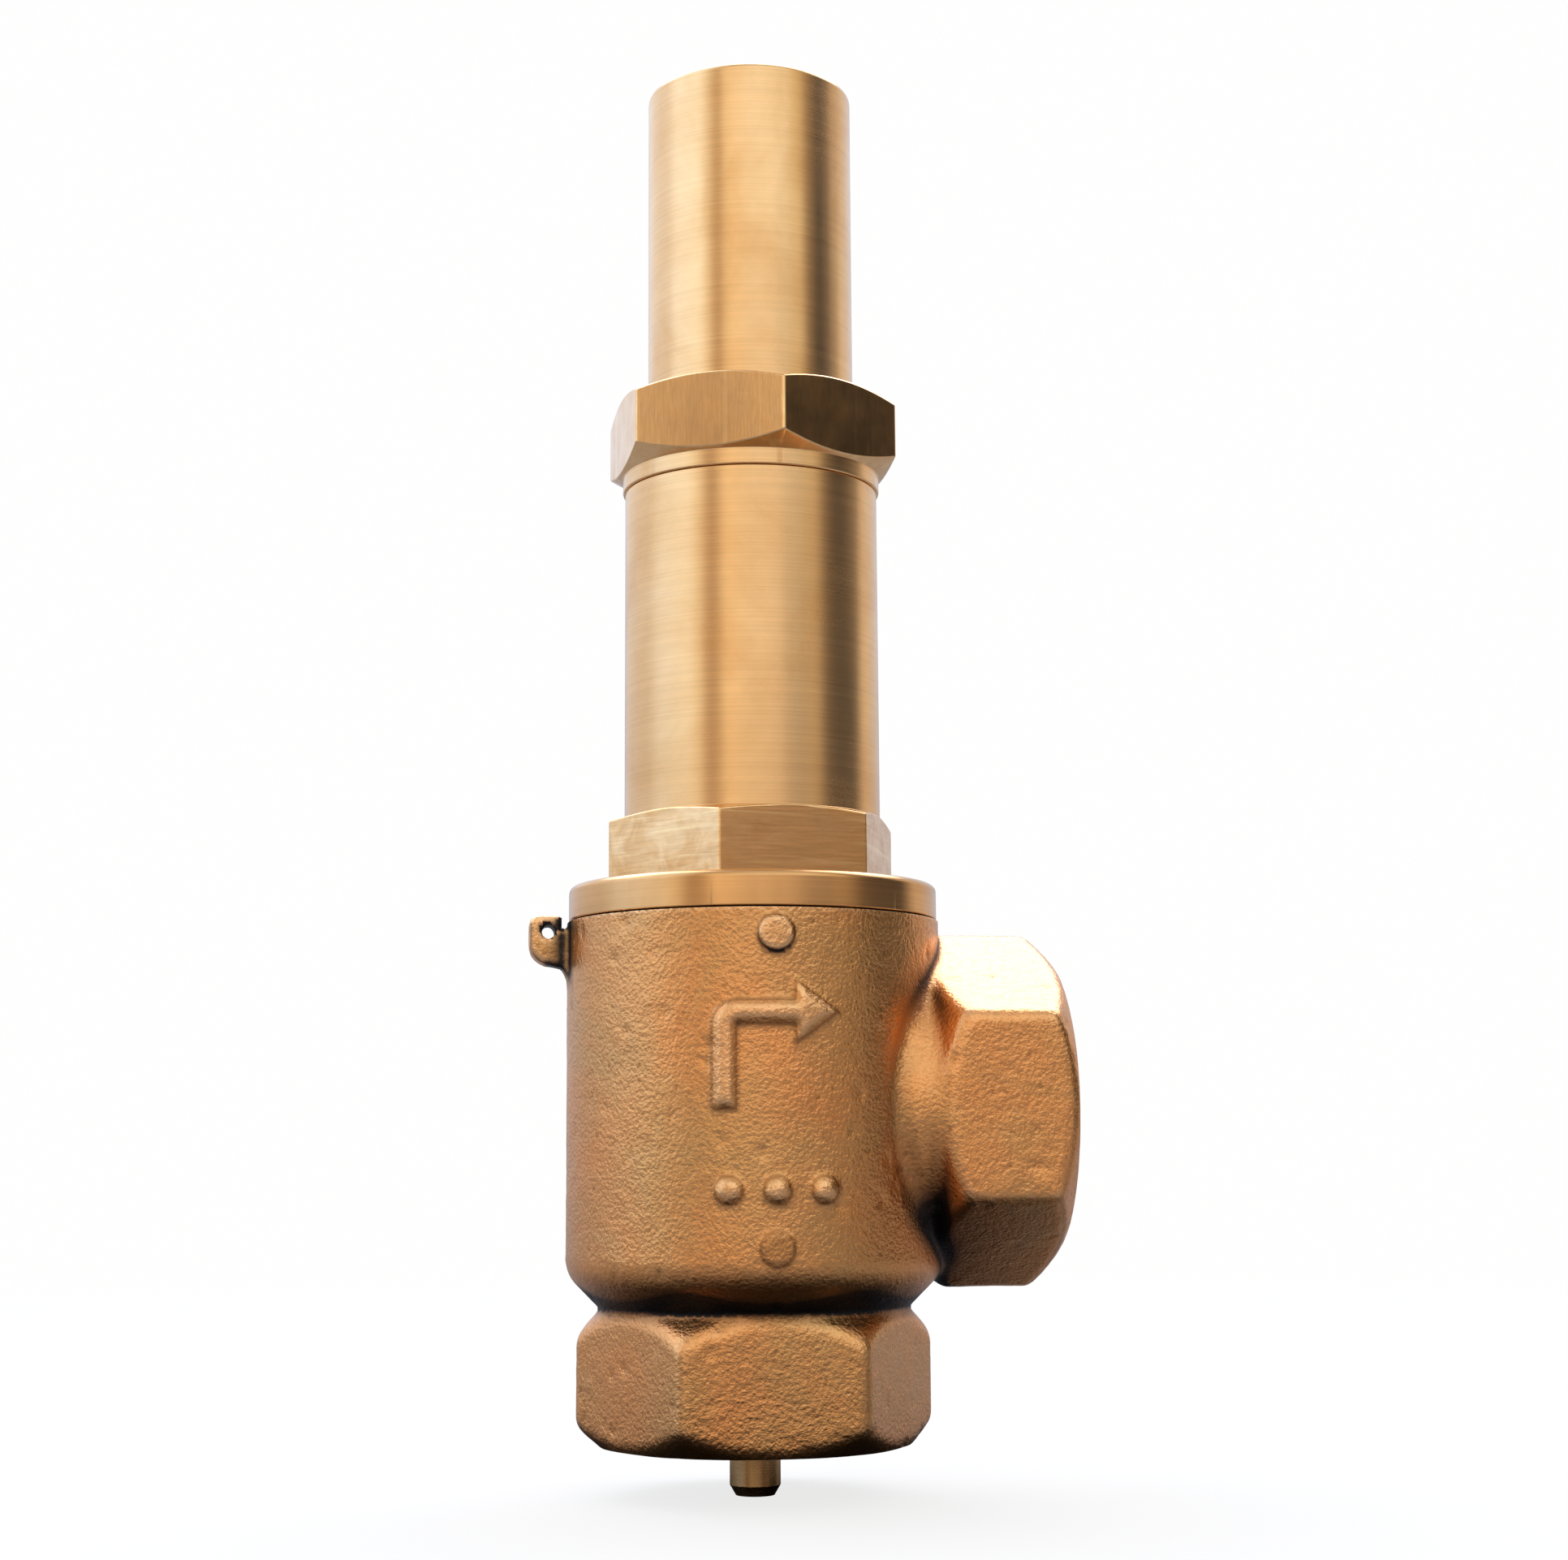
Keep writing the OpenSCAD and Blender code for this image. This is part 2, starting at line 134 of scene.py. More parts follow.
# Bonnet; a chamfer is its rise per millimetre of radius
FLANGE_R = bonnet_high[0]
FLANGE_Z = 83.0
FLANGE_TOP = 88.6
BONNET_FLATS = 42.4
BONNET_HEX_TOP = 99.8
BONNET_HEX_TURN = 11.0
BONNET_CHAMFER = 0.3
HOUSING_R = 21.0
HOUSING_TOP = cap_low[2]
NECK_TOP = bonnet_high[2]
SPRING_BORE_R = 16.5
SPRING_BORE_TOP = 150.5
SCREW_THREAD_R = 8.05
CAP_THREAD_R = 18.0
CAP_PITCH = 1.5

# Cap
COLLAR_R = 21.4
CAP_FLATS = 44.0
CAP_HEX_TURN = 35.6
CAP_HEX_LOW = 157.0
CAP_HEX_HIGH = 170.6
CAP_HEX_FACE_R = 20.9
CAP_CHAMFER = 0.56
CAP_TUBE_R = 17.2
CAP_WALL = 3.0
CAP_TOP = cap_high[2]


# ---- Mesh helpers ----


def make_piece(name, points_mm, faces, body=None):
    """A smooth-shaded mesh object from points in millimetres."""
    mesh = bpy.data.meshes.new(name)
    mesh.from_pydata((np.asarray(points_mm) * MM).tolist(), [], [list(f) for f in faces])
    mesh.validate()
    mesh.shade_smooth()
    piece = bpy.data.objects.new(name, mesh)
    bpy.context.scene.collection.objects.link(piece)
    if body:
        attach(piece, body)
    return piece


def clean(piece, sharp_deg=None):
    """Merges coincident points, points the normals outwards and marks sharp edges."""
    bm = bmesh.new()
    bm.from_mesh(piece.data)
    bmesh.ops.remove_doubles(bm, verts=bm.verts, dist=1e-6)
    bmesh.ops.dissolve_degenerate(bm, edges=bm.edges, dist=1e-7)
    bmesh.ops.recalc_face_normals(bm, faces=bm.faces)
    if sharp_deg:
        limit = math.radians(sharp_deg)
        for edge in bm.edges:
            edge.smooth = len(edge.link_faces) == 2 and edge.calc_face_angle() < limit
    for face in bm.faces:
        face.smooth = True
    bm.to_mesh(piece.data)
    bm.free()
    return piece


def weight_normals(piece):
    """Keeps large faces flat-looking next to small fillets."""
    modifier = piece.modifiers.new("weighted_normals", "WEIGHTED_NORMAL")
    modifier.keep_sharp = True
    modifier.weight = 60
    return piece


# ---- Lathe ----


def even_columns(count=144):
    return np.arange(count) * 2 * math.pi / count


def hexagon_columns(flats, turn, edge_r, crown, corner_steps=4, flat_steps=20):
    """Column angles, close together at a rounded hexagon's corners, and its radius at each.

    The flats are slightly crowned: they fall away by crown towards the corners.
    """
    apothem = flats / 2
    reach = (apothem - edge_r) / math.cos(math.radians(30))
    side = math.atan2((apothem - edge_r) * math.tan(math.radians(30)), apothem)
    tangent = math.radians(30) - side
    corner = np.linspace(-tangent, tangent, corner_steps + 1)
    share = np.linspace(0, 1, flat_steps + 1)[1:-1]
    share -= 0.9 * np.sin(2 * math.pi * share) / (2 * math.pi)
    flat = tangent + share * (math.radians(60) - 2 * tangent)
    offsets = np.concatenate([corner, flat])
    near_corner = np.concatenate([np.ones(len(corner), bool), np.zeros(len(flat), bool)])
    angles, radii = [], []
    for k in range(6):
        angles.append(math.radians(turn + 60 * k) + offsets)
        from_corner = np.where(near_corner, offsets, 0)
        round_r = reach * np.cos(from_corner) + np.sqrt(
            edge_r**2 - (reach * np.sin(from_corner)) ** 2
        )
        flat_r = apothem / np.cos(offsets - math.radians(30))
        fall = crown * np.minimum(np.abs(offsets / math.radians(30) - 1), 1) ** 2
        radii.append(np.where(near_corner, round_r, flat_r) - np.where(near_corner, crown, fall))
    return np.concatenate(angles), np.concatenate(radii)


def row(r, z, count):
    """One profile row: a radius and a height, each a number or one value per column."""
    return np.stack([np.broadcast_to(r, count), np.broadcast_to(z, count)], axis=-1).astype(float)


def fillet_rows(rows, radii, steps=4):
    """Rounds the corners of every column's profile; rows is a list of (columns, 2) arrays."""
    out = []
    for i, (here, radius) in enumerate(zip(rows, radii)):
        if not radius or i in (0, len(rows) - 1):
            out.append(here)
            continue
        before, after = rows[i - 1] - here, rows[i + 1] - here
        len_before = np.linalg.norm(before, axis=1, keepdims=True)
        len_after = np.linalg.norm(after, axis=1, keepdims=True)
        before, after = before / len_before, after / len_after
        cos_inside = np.clip((before * after).sum(axis=1, keepdims=True), -0.9999, 0.9999)
        half = np.arccos(cos_inside) / 2
        cut = np.minimum(radius / np.tan(half), 0.48 * np.minimum(len_before, len_after))
        start, end = here + before * cut, here + after * cut
        weight = np.sin(half)
        for s in np.linspace(0, 1, steps + 1):
            top = (1 - s) ** 2 * start + 2 * weight * s * (1 - s) * here + s**2 * end
            out.append(top / ((1 - s) ** 2 + 2 * weight * s * (1 - s) + s**2))
    return out


def thread_rows(angles, r_minor, r_major, pitch, z0, z1, per_pitch=8):
    """Rows of a rounded right-hand thread between two heights, fading in and out over one turn."""
    steps = max(2, round((z1 - z0) / pitch * per_pitch))
    middle, swing = (r_minor + r_major) / 2, (r_major - r_minor) / 2
    rows = []
    for z in np.linspace(z0, z1, steps + 1):
        fade = np.clip(min(z - z0, z1 - z) / pitch, 0, 1)
        wave = np.cos(2 * math.pi * (z / pitch) - angles)
        rows.append(row(middle + swing * (fade * (wave + 1) - 1), z, len(angles)))
    return rows


def lathe(name, angles, rows, closed=True):
    """A skin through the rows, joined end to start when it is closed."""
    grid = np.stack(rows)
    count = len(angles)
    x = grid[..., 0] * np.cos(angles)
    y = grid[..., 0] * np.sin(angles)
    points = np.stack([x, y, grid[..., 1]], axis=-1).reshape(-1, 3)
    last = len(rows) if closed else len(rows) - 1
    faces = []
    for i in range(last):
        low, high = i * count, (i + 1) % len(rows) * count
        for j in range(count):
            k = (j + 1) % count
            faces.append((low + j, low + k, high + k, high + j))
    return make_piece(name, points, faces)


# ---- Cast body as a distance field ----


def smooth_min(a, b, k):
    h = np.clip(0.5 + 0.5 * (b - a) / k, 0, 1)
    return b * (1 - h) + a * h - k * h * (1 - h)


def smooth_max(a, b, k):
    return -smooth_min(-a, -b, k)


def cone_side(r, z, inner, outer):
    """Distance from the line through two (r, z) points, positive on its left."""
    run, rise = outer[0] - inner[0], outer[1] - inner[1]
    length = math.hypot(run, rise)
    return ((z - inner[1]) * run - (r - inner[0]) * rise) / length


def polygon_distance(px, pz, outline):
    """Signed distance to a closed outline, negative inside."""
    outline = np.asarray(outline, float)
    nearest = np.full(np.broadcast(px, pz).shape, np.inf)
    sign = np.ones_like(nearest)
    for (ax, az), (bx, bz) in zip(outline, np.roll(outline, 1, axis=0)):
        ex, ez = bx - ax, bz - az
        wx, wz = px - ax, pz - az
        t = np.clip((wx * ex + wz * ez) / (ex * ex + ez * ez), 0, 1)
        nearest = np.minimum(nearest, (wx - ex * t) ** 2 + (wz - ez * t) ** 2)
        above, below, side = pz >= az, pz < bz, ex * wz > ez * wx
        crossing = (above & below & side) | (~above & ~below & ~side)
        sign = np.where(crossing, -sign, sign)
    return sign * np.sqrt(nearest)


# Foundry marks: a bent flow arrow, three tally dots and two pips
ARROW_Z, ARROW_W, ARROW_LINE = 62.0, 20.0, 4.0
DOT_Z, DOT_PITCH, DOT_R = 40.0, 7.4, 2.3
PIPS = ((78.7, 2.75, 0.85), (31.3, 2.75, 0.35))


def arrow_outline():
    half, line = ARROW_W / 2, ARROW_LINE
    head = 2.6 * line
    shaft, back = half - head / 2, half - head * 0.7
    bend = [
        (-half + line + line * math.cos(a), shaft - line / 2 + line * math.sin(a))
        for a in np.linspace(math.pi / 2, math.pi, 7)
    ]
    return [
        (-half, -half), (-half + line, -half), (-half + line, shaft - line / 2),
        (back, shaft - line / 2), (back, shaft - head / 2), (half, shaft),
        (back, shaft + head / 2), (back, shaft + line / 2), *bend,
    ]


def mark_height(x, z):
    """How far the foundry marks stand off the barrel at a place on its front."""
    def dome(distance, height, slope_w):
        t = np.clip((0.35 - distance) / slope_w, 0, 1)
        return height * t * t * (3 - 2 * t)

    height = dome(polygon_distance(x, z - ARROW_Z, arrow_outline()), MARK_H, 1.9)
    for i in (-1, 0, 1):
        away = np.hypot(x - i * DOT_PITCH, z - DOT_Z)
        height = np.maximum(height, dome(away - DOT_R, MARK_H, 1.9))
    for pip_z, pip_r, share in PIPS:
        away = np.hypot(x, z - pip_z)
        height = np.maximum(height, dome(away - pip_r, MARK_H * share, 0.8))
    return height


def lug_outline():
    inside, arc_r = BARREL_R - 2, 3.5
    arc = [
        (-LUG_X + arc_r + arc_r * math.cos(a), 79.2 + arc_r * math.sin(a))
        for a in np.linspace(math.pi * 1.5, math.pi, 7)
    ]
    return [
        (-inside, 73.5), (-BARREL_R, 74.0), (-BARREL_R - 1, 75.3), *arc,
        (-LUG_X, LUG_TOP - 1), (-LUG_X + 0.8, LUG_TOP), (-31.3, LUG_TOP), (-31.3, 81.5), (-inside, 81.5),
    ]


def hexagon_distance(u, v, flats, k):
    """Rounded hexagon with a pair of flats facing along v."""
    half = flats / 2
    flat = np.abs(v) - half
    right = np.abs(u * SIN60 + v * 0.5) - half
    left = np.abs(u * SIN60 - v * 0.5) - half
    return smooth_max(smooth_max(flat, right, k), left, k)


EDGE_K = 1.3
VOXEL = 0.62


def casting_distance(x, y, z):
    """Distance to the rough casting, before machining. Machined faces carry extra metal."""
    r = np.hypot(x, y)
    up = z - OUTLET_Z
    q = np.hypot(y, up)

    inlet = hexagon_distance(x, y, PORT_FLATS, EDGE_K)
    inlet = smooth_max(inlet, -cone_side(r, z, *INLET_FRONT), EDGE_K)
    inlet = smooth_max(inlet, cone_side(r, z, *INLET_BACK), EDGE_K)
    inlet = np.maximum(inlet, -FACE_ALLOWANCE - z)

    front = (y < 0) & (np.abs(x) < ARROW_W)
    raised = np.where(front, mark_height(x, z), 0.0)
    shoulder = ((r - NECK_R) - (z - HEX_TOP - GROOVE_H)) / math.sqrt(2)
    barrel = smooth_max(r - BARREL_R - raised, shoulder, 1.8)
    barrel = np.maximum(barrel, z - BARREL_TOP - 0.8)
    barrel = np.maximum(barrel, HEX_TOP - 3 - z)
    solid = smooth_min(inlet, barrel, 1.0)

    over_q = np.maximum(q - OUTLET_NECK_R + OUTLET_ROUND_R, 0)
    neck = np.hypot(over_q, np.maximum(OUTLET_ROUND_X - x, 0)) - OUTLET_ROUND_R
    neck = np.maximum(neck, x - 32.0)
    solid = smooth_min(solid, neck, 2.2)
    branch = hexagon_distance(up, y, PORT_FLATS, EDGE_K)
    branch = smooth_max(branch, -cone_side(q, x, *OUTLET_BACK), EDGE_K)
    branch = smooth_max(branch, cone_side(q, x, *OUTLET_FRONT), EDGE_K)
    branch = np.maximum(branch, x - OUTLET_X - 1.0)
    solid = smooth_min(solid, branch, 1.0)

    near_lug = x < -BARREL_R + 3
    lug = np.where(near_lug, 1.0, 30.0) * np.ones_like(solid)
    side = polygon_distance(x, z, lug_outline())
    lug = np.where(near_lug, smooth_max(side, np.abs(y) - 2.75, 0.9), lug)
    hole = np.hypot(x + 33.4, z - 81.1) - 1.1
    lug = smooth_max(lug, -hole, 0.4)
    return smooth_min(solid, lug, 1.2)


def surface_net(field, origin, step):
    """Quads around the zero level of a sampled field, with one point in each crossed cell."""
    inside = field < 0
    corners = [(i, j, k) for i in (0, 1) for j in (0, 1) for k in (0, 1)]
    shape = tuple(n - 1 for n in field.shape)

    def shifted(a, c):
        return a[tuple(slice(c[d], c[d] + shape[d]) for d in range(3))]

    total = sum(shifted(inside, c).astype(np.int8) for c in corners)
    cells = np.argwhere((total > 0) & (total < 8))
    number = np.full(shape, -1, np.int64)
    number[tuple(cells.T)] = np.arange(len(cells))

    values = np.stack([field[tuple((cells + c).T)] for c in corners], axis=1)
    sums, hits = np.zeros((len(cells), 3)), np.zeros(len(cells))
    for a, ca in enumerate(corners):
        for b, cb in enumerate(corners):
            if b <= a or sum(abs(ca[d] - cb[d]) for d in range(3)) != 1:
                continue
            va, vb = values[:, a], values[:, b]
            crossed = (va < 0) != (vb < 0)
            t = np.where(crossed, va / np.where(crossed, va - vb, 1), 0)[:, None]
            at = np.array(ca) + t * (np.array(cb) - np.array(ca))
            sums += np.where(crossed[:, None], at, 0)
            hits += crossed
    points = origin + step * (cells + sums / hits[:, None])

    quads = []
    for axis in range(3):
        u, v = (axis + 1) % 3, (axis + 2) % 3
        low = [slice(None)] * 3
        high = [slice(None)] * 3
        low[axis], high[axis] = slice(0, -1), slice(1, None)
        a, b = inside[tuple(low)], inside[tuple(high)]
        for outward, found in ((True, a & ~b), (False, ~a & b)):
            at = np.argwhere(found)
            at = at[(at[:, u] > 0) & (at[:, v] > 0)]
            ring = []
            for du, dv in ((1, 1), (0, 1), (0, 0), (1, 0)):
                cell = at.copy()
                cell[:, u] -= du
                cell[:, v] -= dv
                ring.append(number[tuple(cell.T)])
            ring = np.stack(ring, axis=1)
            quads.append(ring if outward else ring[:, ::-1])
    return points, np.concatenate(quads)


def field_gradient(points, reach=0.05):
    parts = []
    for axis in range(3):
        ahead, behind = points.copy(), points.copy()
        ahead[:, axis] += reach
        behind[:, axis] -= reach
        parts.append((casting_distance(*ahead.T) - casting_distance(*behind.T)) / (2 * reach))
    return np.stack(parts, axis=1)


def settle_on_surface(points, rounds=2):
    """Moves points along the field's slope until they lie on its zero level."""
    for _ in range(rounds):
        slope = field_gradient(points)
        distance = casting_distance(*points.T)
        points = points - slope * (distance / (slope**2).sum(axis=1))[:, None]
    return points


def sand_skin(points, normals):
    """Offsets of a sand-cast skin: gentle waves, grain, and seeded pits and nodules."""
    wave = np.array([noise.noise(Vector(p) * 0.11) for p in points])
    grain = np.array([noise.noise(Vector(p) * 0.55 + Vector((40, 7, 3))) for p in points])
    offset = 0.07 * wave + 0.045 * grain
    rng = np.random.default_rng(11)
    picked = points[rng.integers(0, len(points), 260)]
    depth = rng.choice([-0.22, -0.14, 0.10], size=len(picked), p=[0.3, 0.4, 0.3])
    width = rng.uniform(0.55, 1.0, len(picked))
    for centre, amount, spread in zip(picked, depth, width):
        away = ((points - centre) ** 2).sum(axis=1)
        near = away < (3 * spread) ** 2
        offset[near] += amount * np.exp(-away[near] / spread**2)
    moved = points + normals * offset[:, None]
    moved[:, 0] = np.maximum(moved[:, 0], -LUG_X)
    moved[:, 1] = np.clip(moved[:, 1], -BARREL_R - MARK_H, BARREL_R)
    return moved


def cast_body_mesh(step):
    low = np.array([-LUG_X - 2, -BARREL_R - 3, -3.0])
    high = np.array([OUTLET_X + 3, BARREL_R + 3, LUG_TOP + 3])
    size = np.ceil((high - low) / step).astype(int) + 1
    x, y, z = (
        (low[d] + step * np.arange(size[d])).reshape([-1 if d == e else 1 for e in range(3)])
        for d in range(3)
    )
    points, quads = surface_net(casting_distance(x, y, z), low, step)
    points = settle_on_surface(points)
    normals = field_gradient(points)
    normals /= np.linalg.norm(normals, axis=1, keepdims=True)
    return sand_skin(points, normals), quads


def machining_tool(name, profile, threads=None):
    """A closed turned cutter about Z. threads inserts threaded rows after a profile index."""
    angles = even_columns(108)
    rows = []
    for i, (r, z) in enumerate(profile):
        rows.append(row(r, z, len(angles)))
        if threads and i == threads[0]:
            rows += thread_rows(angles, *threads[1:])
    return clean(lathe(name, angles, rows, closed=False))


def cut(piece, tool):
    """Cuts the tool's shape out of the piece and drops the tool."""
    modifier = piece.modifiers.new("cut", "BOOLEAN")
    modifier.operation = "DIFFERENCE"
    modifier.object = tool
    modifier.solver = "MANIFOLD"
    graph = bpy.context.evaluated_depsgraph_get()
    mesh = bpy.data.meshes.new_from_object(piece.evaluated_get(graph))
    piece.modifiers.remove(modifier)
    piece.data = mesh
    bpy.data.objects.remove(tool)
    return piece


def port_profile():
    """Start of a port's cutter, from outside: end face, entry cone and the thread's bore."""
    reach, ahead = 32.0, -4.0
    return [
        (0, ahead), (reach, ahead), (reach, 0.0), (PIPE_MINOR_R + PORT_ENTRY, 0.0),
        (PIPE_MINOR_R, PORT_ENTRY), (PIPE_MINOR_R, PIPE_THREAD - 0.4), (PIPE_MINOR_R, PIPE_THREAD),
    ]


def store_shading(mesh):
    """Saves how open the casting is at each point, and how high it stands on a foundry mark.

    A point is less open in a corner, less again facing down, and least over the inlet's groove; the cast
    material paints the less open points darker, as painted shade.
    """
    points = np.zeros(len(mesh.vertices) * 3)
    mesh.vertices.foreach_get("co", points)
    points = points.reshape(-1, 3) / MM
    normals = field_gradient(points)
    normals /= np.linalg.norm(normals, axis=1, keepdims=True) + 1e-9
    shade_openness = np.ones(len(points))
    # Painted shade: points in corners are less open, and more so where they face down.
    for reach, share in ((1.5, 0.30), (4.0, 0.35), (8.0, 0.35)):
        ahead = casting_distance(*(points + normals * reach).T) / reach
        shade_openness -= share * (1 - np.clip(ahead, 0, 1)) * (0.76 - 0.8 * normals[:, 2])
    # Painted shade on the downward shoulder over the inlet's groove.
    overhang = np.clip((-0.3 - normals[:, 2]) / 0.4, 0, 1)
    overhang[np.hypot(points[:, 0], points[:, 1]) > BARREL_R + 1] = 0
    shade_openness -= 0.24 * overhang * np.clip(1 - np.abs(points[:, 2] - HEX_TOP - 2) / 5, 0, 1)
    on_marks = (points[:, 1] < 0) & (np.abs(points[:, 0]) < ARROW_W)
    marks = np.where(on_marks, mark_height(points[:, 0], points[:, 2]) / MARK_H, 0)
    for name, values in (("shade_openness", shade_openness), ("marks", marks)):
        layer = mesh.attributes.new(name, "FLOAT", "POINT")
        layer.data.foreach_set("value", values.astype(np.float32))


def build_body():
    points, quads = cast_body_mesh(VOXEL)
    piece = make_piece("cast_body", points, quads)
    thread = (4, PIPE_MINOR_R, PIPE_MAJOR_R, PIPE_PITCH, 2.2, PIPE_THREAD - 0.5)

    outlet_rows = port_profile() + [
        (WATERWAY_R, PIPE_THREAD), (WATERWAY_R, OUTLET_BORE), (0, OUTLET_BORE),
    ]
    outlet = machining_tool("outlet_cutter", outlet_rows, thread)
    outlet.data.transform(
        Matrix.Translation((OUTLET_X * MM, 0, OUTLET_Z * MM)) @ Matrix.Rotation(-math.pi / 2, 4, "Y")
    )
    cut(piece, outlet)

    inlet_rows = port_profile() + [
        (GUIDE_SHOULDER_R, PIPE_THREAD), (GUIDE_SHOULDER_R, GUIDE_Z), (WATERWAY_R, GUIDE_Z),
        (WATERWAY_R, SEAT_POCKET_Z), (SEAT_POCKET_R, SEAT_POCKET_Z), (SEAT_POCKET_R, CHAMBER_Z),
        (CHAMBER_R, CHAMBER_Z), (CHAMBER_R, BONNET_THREAD_Z), (BONNET_THREAD_R, BONNET_THREAD_Z),
        (BONNET_THREAD_R, GASKET_Z), (GASKET_R, GASKET_Z), (GASKET_R, BARREL_TOP),
        (TOP_CUT_R, BARREL_TOP), (TOP_CUT_R, BARREL_TOP + 4), (0, BARREL_TOP + 4),
    ]
    cut(piece, machining_tool("inlet_cutter", inlet_rows, thread))
    clean(piece, sharp_deg=38)

    mesh = piece.data
    centres = np.zeros(len(mesh.polygons) * 3)
    mesh.polygons.foreach_get("center", centres)
    depth = casting_distance(*(centres.reshape(-1, 3) / MM).T)
    machined = (depth < -MACHINED_DEPTH).astype(np.int32)
    mesh.polygons.foreach_set("material_index", machined)
    store_shading(mesh)
    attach(piece, "valve_body")
    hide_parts("body")
    return piece


# ---- Turned parts ----


def build_bonnet():
    angles, hex_r = hexagon_columns(BONNET_FLATS, BONNET_HEX_TURN, 0.35, 0.10)
    n = len(angles)
    chamfer_z = BONNET_HEX_TOP - (hex_r - HOUSING_R) * BONNET_CHAMFER
    male_r = BONNET_THREAD_R - 0.05
    outside = [
        (row(SPRING_BORE_R, BONNET_THREAD_Z + 0.5, n), 0.4),
        (row(male_r - 1, BONNET_THREAD_Z + 0.5, n), 0),
        (row(male_r, BONNET_THREAD_Z + 1.5, n), 0),
        (row(male_r, FLANGE_Z, n), 0),
        (row(FLANGE_R, FLANGE_Z, n), 0.2),
        (row(FLANGE_R, FLANGE_TOP, n), 1.1),
        (row(hex_r, FLANGE_TOP, n), 0.35),
        (row(hex_r, chamfer_z, n), 0.35),
        (row(HOUSING_R, BONNET_HEX_TOP, n), 0.12),
        (row(HOUSING_R, HOUSING_TOP, n), 0.22),
        (row(CAP_THREAD_R - 0.9, HOUSING_TOP, n), 0.3),
    ]
    rows = fillet_rows([r for r, _ in outside], [f for _, f in outside])
    rows += thread_rows(angles, CAP_THREAD_R - 0.9, CAP_THREAD_R - 0.03, CAP_PITCH,
                        HOUSING_TOP + 0.6, NECK_TOP - 0.8)
    inside = [
        (row(CAP_THREAD_R - 0.9, NECK_TOP - 0.7, n), 0),
        (row(CAP_THREAD_R - 1.6, NECK_TOP, n), 0.2),
        (row(SCREW_THREAD_R + 0.6, NECK_TOP, n), 0),
        (row(SCREW_THREAD_R, NECK_TOP - 0.6, n), 0),
        (row(SCREW_THREAD_R, SPRING_BORE_TOP, n), 0.2),
        (row(SPRING_BORE_R, SPRING_BORE_TOP, n), 0.8),
        (row(SPRING_BORE_R, BONNET_THREAD_Z + 1.0, n), 0),
    ]
    rows += fillet_rows([r for r, _ in inside], [f for _, f in inside])
    piece = lathe("turned_bonnet", angles, rows)
    centres = np.array([p.center for p in piece.data.polygons]) / MM
    radius = np.hypot(centres[:, 0], centres[:, 1])
    on_hex = (centres[:, 2] > FLANGE_TOP + 0.3) & (centres[:, 2] < BONNET_HEX_TOP - 0.1)
    on_hex &= radius > HOUSING_R + 0.05
    on_flange = (centres[:, 2] < FLANGE_TOP + 0.1) & (radius > BONNET_THREAD_R)
    slots = on_hex.astype(np.int32) + 2 * on_flange.astype(np.int32)
    piece.data.polygons.foreach_set("material_index", slots)
    clean(piece, sharp_deg=40)
    weight_normals(piece)
    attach(piece, "valve_body")
    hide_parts("bonnet")
    return piece


def build_cap():
    angles, hex_r = hexagon_columns(CAP_FLATS, CAP_HEX_TURN, 0.45, 0.22)
    n = len(angles)
    rise = (hex_r - CAP_HEX_FACE_R) * CAP_CHAMFER
    low_z = CAP_HEX_LOW + rise
    high_z = CAP_HEX_HIGH - rise
    inner_r = CAP_TUBE_R - CAP_WALL
    collar_top = CAP_HEX_LOW + (COLLAR_R - CAP_HEX_FACE_R) * CAP_CHAMFER
    outside = [
        (row(20.3, HOUSING_TOP + 0.02, n), 0),
        (row(COLLAR_R, HOUSING_TOP + 0.02, n), 0.22),
        (row(COLLAR_R, collar_top, n), 0.15),
        (row(hex_r, low_z, n), 0.4),
        (row(hex_r, high_z, n), 0.4),
        (row(CAP_TUBE_R + 0.9, CAP_HEX_HIGH + 0.02, n), 0.3),
        (row(CAP_TUBE_R, CAP_HEX_HIGH + 0.15, n), 0.3),
        (row(CAP_TUBE_R, CAP_TOP, n), 1.0),
        (row(0.001, CAP_TOP, n), 0),
    ]
    rows = fillet_rows([r for r, _ in outside], [f for _, f in outside], steps=5)
    inside = [
        (row(0.001, CAP_TOP - CAP_WALL, n), 0),
        (row(inner_r, CAP_TOP - CAP_WALL, n), 1.2),
        (row(inner_r, NECK_TOP + 0.6, n), 0.2),
        (row(CAP_THREAD_R + 0.02, NECK_TOP + 0.6, n), 0),
    ]
    rows += fillet_rows([r for r, _ in inside], [f for _, f in inside])
    threads = thread_rows(angles, CAP_THREAD_R + 0.02, CAP_THREAD_R + 0.8, CAP_PITCH,
                          HOUSING_TOP + 2.0, NECK_TOP)
    rows += threads[::-1]
    rows += [row(CAP_THREAD_R + 0.02, HOUSING_TOP + 1.5, n), row(20.3, HOUSING_TOP + 1.5, n)]
    piece = lathe("turned_cap", angles, rows)
    centres = np.array([p.center for p in piece.data.polygons]) / MM
    radius = np.hypot(centres[:, 0], centres[:, 1])
    on_hex = (centres[:, 2] > CAP_HEX_LOW + 0.25) & (centres[:, 2] < CAP_HEX_HIGH)
    on_hex &= radius > COLLAR_R + 0.25
    piece.data.polygons.foreach_set("material_index", on_hex.astype(np.int32))
    clean(piece, sharp_deg=40)
    weight_normals(piece)
    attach(piece, "cap")
    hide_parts("cap")
    return piece


